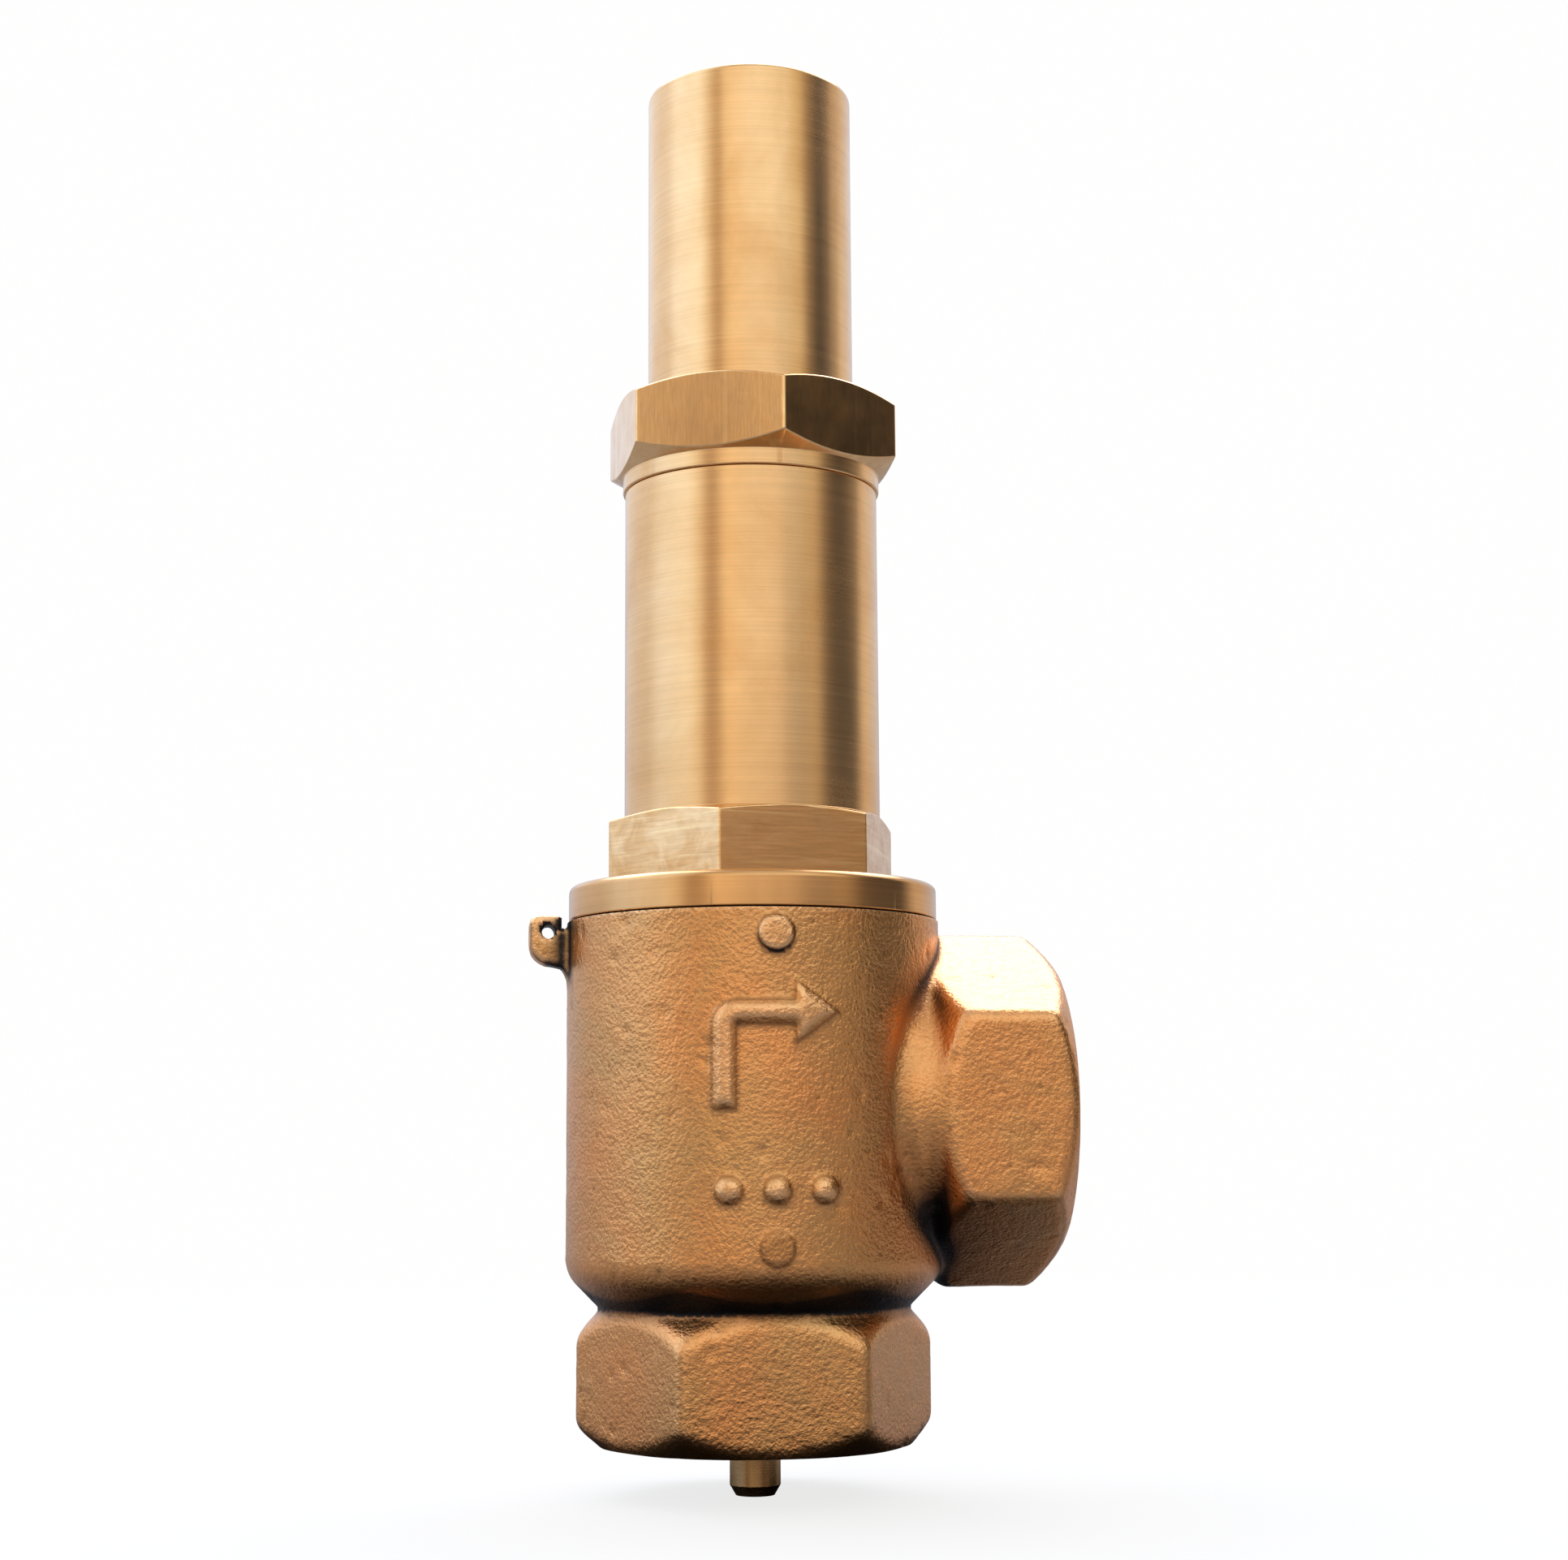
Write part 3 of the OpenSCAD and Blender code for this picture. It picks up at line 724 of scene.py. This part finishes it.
def coil(name, start_turn, end_turn, turns, radius, wire_r, low, high, ground):
    """Part of a helical spring; the closed end turns are ground flat at low or high."""
    closed_pitch = 2 * wire_r + 0.12
    open_pitch = (high - low - 2 * wire_r - 2 * closed_pitch) / (turns - 2)

    def centre_z(turn):
        if turn < 1:
            return low + wire_r + closed_pitch * turn
        if turn > turns - 1:
            return high - wire_r - closed_pitch * (turns - turn)
        return low + wire_r + closed_pitch + open_pitch * (turn - 1)

    per_turn, sides = 72, 20
    steps = round((end_turn - start_turn) * per_turn)
    around = np.arange(sides) * 2 * math.pi / sides
    points = []
    for i in range(steps + 1):
        turn = start_turn + (end_turn - start_turn) * i / steps
        a = 2 * math.pi * turn
        r = radius + wire_r * np.cos(around)
        z = centre_z(turn) + wire_r * np.sin(around)
        if ground:
            z = np.clip(z, low + 0.25 * wire_r, high - 0.25 * wire_r)
        points.append(np.stack([r * math.cos(a), r * math.sin(a), z], axis=-1))
    faces = []
    for i in range(steps):
        for j in range(sides):
            k = (j + 1) % sides
            faces.append((i * sides + j, i * sides + k, (i + 1) * sides + k, (i + 1) * sides + j))
    faces.append(tuple(range(sides))[::-1])
    faces.append(tuple(steps * sides + j for j in range(sides)))
    return clean(make_piece(name, np.concatenate(points), faces), sharp_deg=40)


def build_spring():
    """Two halves of the spring, split at its middle turn."""
    turns, wire_r, radius = 8, 2.25, 13.4
    low, high = PLATE_Z + 4.0, UPPER_PLATE_Z - 4.0
    shape = (turns, radius, wire_r, low, high, True)
    lower = coil("spring_lower_half", 0, turns / 2, *shape)
    upper = coil("spring_upper_half", turns / 2, turns, *shape)
    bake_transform(lower)
    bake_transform(upper)
    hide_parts("spring")
    return [lower, upper]


# ---- Materials ----

BRASS, BRASS_DEEP = (0.92, 0.585, 0.277), (0.83, 0.475, 0.195)
CAST_WARM, CAST_OLIVE = (0.80, 0.340, 0.115), (0.66, 0.350, 0.130)
# CAST_DARK is the dark tone of the grain and the pits, and also painted shade in creases and round the
# marks' feet; CAST_PROUD is a painted highlight on edges and on the marks' partly worn tops.
CAST_DARK, CAST_PROUD = (0.36, 0.15, 0.05), (0.90, 0.52, 0.25)
# Painted shade, near black, for the casting's hollows, its downward faces and the shoulder over the
# inlet's groove.
CAST_SHADE = (0.020, 0.021, 0.022)


def add(tree, kind, inputs=None, **settings):
    """A shader node with its settings, and its inputs given as values or as other sockets."""
    made = tree.nodes.new(kind)
    for key, value in settings.items():
        setattr(made, key, value)
    for key, value in (inputs or {}).items():
        socket = made.inputs[key]
        if isinstance(value, bpy.types.NodeSocket):
            tree.links.new(value, socket)
        else:
            socket.default_value = value
    return made


def math_node(tree, operation, a, b=0.0, c=0.0):
    made = tree.nodes.new("ShaderNodeMath")
    made.operation = operation
    for socket, value in zip(made.inputs, (a, b, c)):
        if isinstance(value, bpy.types.NodeSocket):
            tree.links.new(value, socket)
        else:
            socket.default_value = value
    return made.outputs[0]


def new_material(name):
    material = bpy.data.materials.new(name)
    material.use_nodes = True
    tree = material.node_tree
    return material, tree, tree.nodes["Principled BSDF"]


def stretched(tree, x, y, z):
    """Object coordinates scaled per axis, in features per metre."""
    place = add(tree, "ShaderNodeTexCoord").outputs["Object"]
    return add(tree, "ShaderNodeMapping", {"Vector": place, "Scale": (x, y, z)}).outputs[0]


def noise_at(tree, vector, scale=1.0, detail=3.0, roughness=0.55, distortion=0.0):
    return add(tree, "ShaderNodeTexNoise", {
        "Vector": vector, "Scale": scale, "Detail": detail,
        "Roughness": roughness, "Distortion": distortion,
    }).outputs["Fac"]


def ramp(tree, factor, stops, blend="LINEAR"):
    """A colour ramp; stops are (position, colour or grey value)."""
    made = add(tree, "ShaderNodeValToRGB", {"Fac": factor})
    made.color_ramp.interpolation = blend
    elements = made.color_ramp.elements
    while len(elements) < len(stops):
        elements.new(0.5)
    for element, (position, colour) in zip(elements, stops):
        element.position = position
        grey = isinstance(colour, (int, float))
        element.color = (colour, colour, colour, 1) if grey else (*colour, 1)
    return made.outputs["Color"]


def mix(tree, factor, a, b, blend="MIX"):
    made = tree.nodes.new("ShaderNodeMix")
    made.data_type = "RGBA"
    made.blend_type = blend
    sockets = [made.inputs["Factor"]] + [s for s in made.inputs if s.type == "RGBA"]
    for socket, value in zip(sockets, (factor, a, b)):
        if isinstance(value, bpy.types.NodeSocket):
            tree.links.new(value, socket)
        elif socket.type == "RGBA":
            socket.default_value = (*value, 1)
        else:
            socket.default_value = value
    return next(s for s in made.outputs if s.type == "RGBA")


def bump(tree, height, strength, distance, below=None):
    inputs = {"Height": height, "Strength": strength, "Distance": distance}
    if below is not None:
        inputs["Normal"] = below
    return add(tree, "ShaderNodeBump", inputs).outputs["Normal"]


def turned_metal(name, light, deep, roughness, anisotropic=0.75, lines=1.0):
    """Turning lines around Z, a patchy warm patina and small handling marks."""
    material, tree, surface = new_material(name)
    plain = stretched(tree, 1, 1, 1)
    patina = noise_at(tree, plain, 55, 4, 0.6, 0.4)
    specks = noise_at(tree, plain, 1300, 2, 0.5)
    fine = noise_at(tree, stretched(tree, 16, 16, 3600), 1, 3, 0.6)
    broad = noise_at(tree, stretched(tree, 5, 5, 700), 1, 3, 0.6)
    marks = math_node(tree, "MULTIPLY_ADD", fine, 0.6, math_node(tree, "MULTIPLY", broad, 0.4))
    colour = mix(tree, ramp(tree, patina, [(0.35, 0.0), (0.68, 1.0)]), light, deep)
    low, high = 1 - 0.13 * lines, 1 + 0.02 * lines
    shade = ramp(tree, marks, [(0.34, low), (0.50, 0.5 * (low + high)), (0.66, high)])
    colour = mix(tree, 1.0, colour, shade, "MULTIPLY")
    colour = mix(tree, ramp(tree, specks, [(0.66, 0.0), (0.80, 0.5)]), colour, deep)
    surface.inputs["Metallic"].default_value = 1.0
    tree.links.new(colour, surface.inputs["Base Color"])
    rough = math_node(tree, "MULTIPLY_ADD", patina, 0.14, roughness - 0.12)
    rough = math_node(tree, "MULTIPLY_ADD", marks, 0.08, rough)
    tree.links.new(rough, surface.inputs["Roughness"])
    surface.inputs["Anisotropic"].default_value = anisotropic
    surface.inputs["Anisotropic Rotation"].default_value = 0.25
    tangent = add(tree, "ShaderNodeTangent", direction_type="RADIAL", axis="Z")
    tree.links.new(tangent.outputs[0], surface.inputs["Tangent"])
    tree.links.new(bump(tree, marks, 0.5 * lines, 6e-6), surface.inputs["Normal"])
    return material


def milled_metal(name, light, deep, roughness, grain, grain_depth, scratches):
    """Hexagon faces: straight milling grain, scattered scratches and worn patches."""
    material, tree, surface = new_material(name)
    plain = stretched(tree, 1, 1, 1)
    patch = noise_at(tree, plain, 140, 4, 0.65, 0.6)
    streak = noise_at(tree, stretched(tree, *grain), 1, 3, 0.6)
    scratch = noise_at(tree, stretched(tree, *scratches), 1, 1, 0.3)
    scratch = ramp(tree, scratch, [(0.62, 0.0), (0.70, 1.0)])
    colour = mix(tree, ramp(tree, patch, [(0.38, 0.0), (0.66, 1.0)]), light, deep)
    shade = ramp(tree, streak, [(0.32, 1.02 - grain_depth), (0.68, 1.02)])
    colour = mix(tree, 1.0, colour, shade, "MULTIPLY")
    bright = tuple(min(1.0, c * 1.2) for c in light)
    colour = mix(tree, math_node(tree, "MULTIPLY", scratch, 0.5), colour, bright)
    surface.inputs["Metallic"].default_value = 1.0
    tree.links.new(colour, surface.inputs["Base Color"])
    rough = math_node(tree, "MULTIPLY_ADD", patch, 0.24, roughness - 0.12)
    tree.links.new(rough, surface.inputs["Roughness"])
    normal = bump(tree, streak, 0.5, 1.2e-5)
    normal = bump(tree, patch, 0.3, 5e-5, normal)
    normal = bump(tree, scratch, 0.4, 8e-6, normal)
    tree.links.new(normal, surface.inputs["Normal"])
    return material


def cast_metal(name):
    """Sand-cast skin: bumpy grain and sparse pits, painted highlights on edges and on the partly worn
    tops of the marks, and painted shade in creases, round the marks' feet and in hollows.
    """
    material, tree, surface = new_material(name)
    plain = stretched(tree, 1, 1, 1)
    patch = noise_at(tree, plain, 45, 5, 0.62, 0.5)
    grain = noise_at(tree, plain, 1700, 2, 0.5)
    fine = noise_at(tree, plain, 3200, 2, 0.6)
    pits = add(tree, "ShaderNodeTexVoronoi", {"Vector": plain, "Scale": 520.0}).outputs["Distance"]
    pits = ramp(tree, pits, [(0.06, 0.0), (0.34, 1.0)])
    keep = ramp(tree, noise_at(tree, plain, 210, 2), [(0.56, 1.0), (0.62, 0.0)])
    pits = math_node(tree, "MAXIMUM", pits, keep)
    colour = mix(tree, ramp(tree, patch, [(0.36, 0.0), (0.66, 1.0)]), CAST_WARM, CAST_OLIVE)
    colour = mix(tree, ramp(tree, grain, [(0.34, 0.22), (0.50, 0.0)]), colour, CAST_DARK)
    colour = mix(tree, ramp(tree, pits, [(0.0, 0.7), (0.8, 0.0)]), colour, CAST_DARK)
    open_air = add(tree, "ShaderNodeAttribute", attribute_name="shade_openness").outputs["Fac"]
    edge = add(tree, "ShaderNodeNewGeometry").outputs["Pointiness"]
    # Painted shade in concave creases and painted highlights on convex edges, read from the mesh's
    # pointiness.
    colour = mix(tree, ramp(tree, edge, [(0.44, 0.85), (0.491, 0.0)]), colour, CAST_DARK)
    colour = mix(tree, ramp(tree, edge, [(0.509, 0.0), (0.555, 0.9)]), colour, CAST_PROUD)
    marks = add(tree, "ShaderNodeAttribute", attribute_name="marks").outputs["Fac"]
    # Painted shade round the foot of the raised marks.
    mark_foot_shade = ramp(tree, marks, [(0.02, 0.0), (0.14, 0.8), (0.28, 0.8), (0.46, 0.0)])
    colour = mix(tree, mark_foot_shade, colour, CAST_DARK)
    # The marks' tops are paler: partly wear, partly a painted highlight.
    colour = mix(tree, ramp(tree, marks, [(0.60, 0.0), (0.95, 0.45)]), colour, CAST_PROUD)
    # Painted shade: the less open the casting, the nearer its colour goes to CAST_SHADE.
    hollow_shade = ramp(tree, open_air, [(0.50, 1.0), (0.68, 0.95), (0.80, 0.50), (0.94, 0.0)])
    colour = mix(tree, hollow_shade, colour, CAST_SHADE)
    surface.inputs["Metallic"].default_value = 1.0
    tree.links.new(colour, surface.inputs["Base Color"])
    rough = math_node(tree, "MULTIPLY_ADD", fine, 0.18, 0.21)
    rough = math_node(tree, "MULTIPLY_ADD", hollow_shade, 0.2, rough)
    tree.links.new(rough, surface.inputs["Roughness"])
    normal = bump(tree, grain, 1.0, 1.5e-4)
    normal = bump(tree, pits, 0.5, 8e-5, normal)
    normal = bump(tree, fine, 0.5, 3e-5, normal)
    tree.links.new(normal, surface.inputs["Normal"])
    return material


def moulded_rubber(name, colour, roughness):
    material, tree, surface = new_material(name)
    grain = noise_at(tree, stretched(tree, 1, 1, 1), 1400, 3, 0.6)
    pale = tuple(c * 1.8 + 0.01 for c in colour)
    tree.links.new(mix(tree, ramp(tree, grain, [(0.4, 0.0), (0.7, 1.0)]), colour, pale),
                   surface.inputs["Base Color"])
    tree.links.new(math_node(tree, "MULTIPLY_ADD", grain, 0.2, roughness - 0.1),
                   surface.inputs["Roughness"])
    tree.links.new(bump(tree, grain, 0.4, 2e-5), surface.inputs["Normal"])
    return material


def dress(piece, slot, *materials):
    """Gives a piece its materials in slot order. Clearing the list would reset the faces' indices."""
    held = piece.data.materials
    while len(held) < len(materials):
        held.append(None)
    for i, material in enumerate(materials):
        held[i] = material


# ---- Studio ----

CAMERA_AT = (-50.4, -422.0, 44.1)
CAMERA_YAW, CAMERA_PITCH, CAMERA_ROLL = 7.52, 8.36, -0.36
CAMERA_LENS = 59.74


def build_camera():
    camera = bpy.data.objects.new("camera", bpy.data.cameras.new("camera"))
    camera.data.lens = CAMERA_LENS
    camera.data.sensor_width = 36
    camera.data.clip_start = 0.01
    camera.data.clip_end = 50
    turn = (
        Matrix.Rotation(math.radians(-CAMERA_YAW), 4, "Z")
        @ Matrix.Rotation(math.radians(90 + CAMERA_PITCH), 4, "X")
        @ Matrix.Rotation(math.radians(CAMERA_ROLL), 4, "Z")
    )
    camera.matrix_world = Matrix.Translation(Vector(CAMERA_AT) * MM) @ turn
    bpy.context.scene.collection.objects.link(camera)
    bpy.context.scene.camera = camera


BACKDROP, FLOOR_TINT = (0.995, 0.995, 0.993), (0.68, 0.635, 0.57)

# Light round the valve, as seen in an upright mirror: degrees to the right of the camera, colour.
# The high walls light the cap, the middle ones the spring housing and the low ones the casting.
HIGH_WALL = (
    (-180, (0.78, 0.86, 1.08)), (-150, (1.06, 1.22, 1.50)), (-111, (1.02, 1.14, 1.46)),
    (-85, (1.30, 1.56, 2.10)), (-58, (1.34, 1.62, 2.10)), (-49, (1.08, 1.12, 1.16)),
    (-43, (0.92, 0.84, 0.74)), (-37, (0.80, 0.68, 0.56)), (-28, (1.14, 1.08, 0.98)),
    (8, (1.26, 1.36, 1.48)), (40, (1.34, 1.46, 1.56)), (56, (1.14, 1.12, 0.98)),
    (72, (0.40, 0.34, 0.28)), (86, (0.05, 0.05, 0.05)), (97, (0.20, 0.17, 0.16)),
    (110, (0.80, 0.72, 0.66)), (150, (0.82, 0.90, 1.10)), (180, (0.78, 0.86, 1.08)),
)
MIDDLE_WALL = (
    (-180, (0.56, 0.60, 0.72)), (-146, (0.78, 0.84, 0.98)), (-110, (0.82, 0.90, 1.10)),
    (-87, (1.10, 1.34, 1.86)), (-62, (1.26, 1.42, 1.66)), (-50, (1.20, 1.16, 1.06)),
    (-40, (0.54, 0.37, 0.25)), (-31, (0.66, 0.48, 0.33)), (-20, (1.34, 1.16, 0.92)),
    (4, (0.97, 0.81, 0.65)), (24, (0.88, 0.72, 0.57)), (36, (0.42, 0.30, 0.21)),
    (60, (0.42, 0.32, 0.22)), (74, (0.09, 0.07, 0.06)), (104, (0.03, 0.03, 0.03)),
    (124, (0.80, 0.72, 0.62)), (150, (0.70, 0.72, 0.80)), (180, (0.56, 0.60, 0.72)),
)
LOW_WALL = (
    (-180, (0.56, 0.60, 0.72)), (-146, (0.78, 0.84, 0.98)), (-110, (0.78, 0.86, 1.02)),
    (-87, (0.94, 1.12, 1.50)), (-62, (1.08, 1.18, 1.32)), (-50, (1.16, 1.12, 1.00)),
    (-38, (0.94, 0.79, 0.64)), (-20, (1.30, 1.10, 0.87)), (8, (1.26, 1.06, 0.85)),
    (22, (1.04, 0.88, 0.72)), (38, (0.56, 0.42, 0.31)), (60, (0.46, 0.36, 0.26)),
    (74, (0.09, 0.07, 0.06)), (104, (0.03, 0.03, 0.03)), (124, (0.80, 0.72, 0.62)),
    (150, (0.70, 0.72, 0.80)), (180, (0.56, 0.60, 0.72)),
)
# Dim strips that only the hexagons mirror: one at the bonnet hexagon's height, one at the cap's
LOW_STRIP = (
    (18, (1.00, 1.00, 1.00)), (31, (0.68, 0.53, 0.43)), (45, (0.36, 0.27, 0.22)),
    (55, (1.00, 1.00, 1.00)),
)
HIGH_STRIP = (
    (-42, (1.00, 1.00, 1.00)), (-38, (0.49, 0.43, 0.37)), (-34, (0.49, 0.43, 0.37)),
    (-28, (1.00, 1.00, 1.00)), (62, (1.00, 1.00, 1.00)), (78, (0.30, 0.30, 0.30)),
    (108, (0.30, 0.30, 0.30)), (122, (1.00, 1.00, 1.00)),
)


def build_world():
    """A soft studio as a world: bright walls with a narrow gap on the right, and a back light."""
    world = bpy.data.worlds.new("studio")
    bpy.context.scene.world = world
    world.use_nodes = True
    tree = world.node_tree
    tree.nodes.clear()
    direction = add(tree, "ShaderNodeTexCoord").outputs["Generated"]
    towards_camera = math.atan2(CAMERA_AT[1], CAMERA_AT[0])
    turned = add(tree, "ShaderNodeVectorRotate", {
        "Vector": direction, "Axis": (0, 0, 1), "Angle": -towards_camera,
    }, rotation_type="AXIS_ANGLE").outputs[0]
    parts = add(tree, "ShaderNodeSeparateXYZ", {"Vector": turned})
    angle = math_node(tree, "ARCTAN2", parts.outputs[1], parts.outputs[0])
    share = math_node(tree, "MULTIPLY_ADD", angle, 1 / (2 * math.pi), 0.5)

    def wall(stops):
        stops = [(degrees / 360 + 0.5, colour) for degrees, colour in stops]
        return ramp(tree, share, stops, "EASE")

    elevation = math_node(tree, "ARCSINE", parts.outputs[2])
    height = math_node(tree, "MULTIPLY_ADD", elevation, 1 / math.pi, 0.5)

    def by_height(stops):
        return ramp(tree, height, [(degrees / 180 + 0.5, value) for degrees, value in stops])

    lit = mix(tree, by_height([(3, 0.0), (5, 1.0)]), wall(LOW_WALL), wall(MIDDLE_WALL))
    lit = mix(tree, by_height([(10, 0.0), (20, 1.0)]), lit, wall(HIGH_WALL))
    for heights, stops in (((2.0, 4.5, 10.0, 12.5), LOW_STRIP), ((11.0, 13.5, 18.0, 20.0), HIGH_STRIP)):
        inside = by_height(list(zip(heights, (0.0, 1.0, 1.0, 0.0))))
        lit = mix(tree, 1.0, lit, mix(tree, inside, (1, 1, 1), wall(stops)), "MULTIPLY")
    fade = by_height([
        (-9, 0.36), (-3, 0.54), (2, 0.88), (10, 1.0), (34, 0.95), (60, 0.65), (90, 0.55),
    ])
    lit = mix(tree, 1.0, lit, fade, "MULTIPLY")
    behind = ramp(tree, math_node(tree, "MULTIPLY_ADD", parts.outputs[0], -0.5, 0.5),
                  [(0.45, 0.0), (0.75, 1.0)])
    high = by_height([(34, 0.0), (46, 1.0), (70, 1.0), (84, 0.2)])
    back_light = mix(tree, math_node(tree, "MULTIPLY", behind, high), (0, 0, 0), (4.4, 5.0, 6.4))
    lit = mix(tree, 1.0, lit, back_light, "ADD")
    studio = add(tree, "ShaderNodeBackground", {"Color": lit, "Strength": 1.0})
    plain = add(tree, "ShaderNodeBackground", {"Color": (*BACKDROP, 1), "Strength": 1.0})
    seen = add(tree, "ShaderNodeLightPath").outputs["Is Camera Ray"]
    chosen = add(tree, "ShaderNodeMixShader", {0: seen, 1: studio.outputs[0], 2: plain.outputs[0]})
    output = add(tree, "ShaderNodeOutputWorld")
    tree.links.new(chosen.outputs[0], output.inputs["Surface"])


def build_floor():
    """A large pale disc that fades into the backdrop. The valve mirrors it darker than it is seen, as
    painted shade that is near black close to the valve.
    """
    count = 96
    around = even_columns(count)
    rings = [0.0, 120.0, 400.0, 1500.0, 9000.0]
    rows = [row(max(r, 0.001), FLOOR_Z, count) for r in rings]
    floor = clean(lathe("floor", around, rows, closed=False))
    floor.data.flip_normals()
    material, tree, surface = new_material("floor_pale")
    seen = add(tree, "ShaderNodeLightPath").outputs["Is Camera Ray"]
    surface.inputs["Roughness"].default_value = 0.9
    surface.inputs["Specular IOR Level"].default_value = 0.0
    place = add(tree, "ShaderNodeTexCoord").outputs["Object"]
    away = add(tree, "ShaderNodeVectorMath", {0: place}, operation="LENGTH").outputs["Value"]
    # Painted shade: the floor as the valve mirrors it, near black next to the valve and dim further out.
    mirrored_shade = ramp(tree, away, [
        (0.042, (0.01, 0.01, 0.01)), (0.070, (0.18, 0.165, 0.155)), (0.120, (0.26, 0.24, 0.225)),
    ])
    tree.links.new(mix(tree, seen, mirrored_shade, FLOOR_TINT), surface.inputs["Base Color"])
    fade = ramp(tree, away, [(0.03, 0.80), (0.18, 0.84), (0.75, 1.0)])
    fade = math_node(tree, "MULTIPLY", fade, seen)
    glow = add(tree, "ShaderNodeEmission", {"Color": (*BACKDROP, 1), "Strength": 1.0})
    joined = add(tree, "ShaderNodeMixShader", {0: fade, 1: surface.outputs[0], 2: glow.outputs[0]})
    tree.links.new(joined.outputs[0], tree.nodes["Material Output"].inputs["Surface"])
    floor.data.materials.append(material)


# ---- The valve ----

turned = turned_metal("turned_brass", BRASS, BRASS_DEEP, 0.27)
flange = turned_metal("turned_flange", (0.78, 0.44, 0.18), (0.68, 0.35, 0.13), 0.25)
bore = turned_metal("bored_bronze", (0.78, 0.46, 0.20), (0.62, 0.35, 0.14), 0.34)
cap_hex = milled_metal(
    "milled_upright", BRASS, BRASS_DEEP, 0.20, (2600, 2600, 300), 0.14, (420, 420, 12)
)
bonnet_hex = milled_metal(
    "milled_level", BRASS, (0.74, 0.39, 0.14), 0.23, (160, 160, 2600), 0.20, (40, 40, 900)
)
cast = cast_metal("cast_bronze")
steel = turned_metal("turned_steel", (0.60, 0.60, 0.59), (0.48, 0.48, 0.47), 0.28, 0.6)
wire = turned_metal("spring_wire", (0.34, 0.34, 0.35), (0.24, 0.24, 0.25), 0.36, 0.0, 0.5)
rubber = moulded_rubber("seal_rubber", (0.03, 0.03, 0.032), 0.55)
fibre = moulded_rubber("gasket_fibre", (0.05, 0.045, 0.04), 0.8)

SLOT_MATERIALS = {
    "cast_bronze": cast, "turned_brass": turned, "bearing_bronze": bore, "stainless": steel,
    "spring_steel": wire, "rubber": rubber, "gasket_fibre": fibre,
}
slots = {s["node"]: s["material_slot"] for s in frame["record"]["subparts"]}
for name, piece in frame["nodes"].items():
    dress(piece, slots[name], SLOT_MATERIALS[slots[name]])

dress(build_body(), "cast_bronze", cast, bore)
dress(build_bonnet(), "turned_brass", turned, bonnet_hex, flange)
dress(build_cap(), "turned_brass", turned, cap_hex)
for half in build_spring():
    dress(half, "spring_steel", wire)

build_floor()
build_world()
build_camera()
bpy.context.scene.view_settings.view_transform = "Standard"
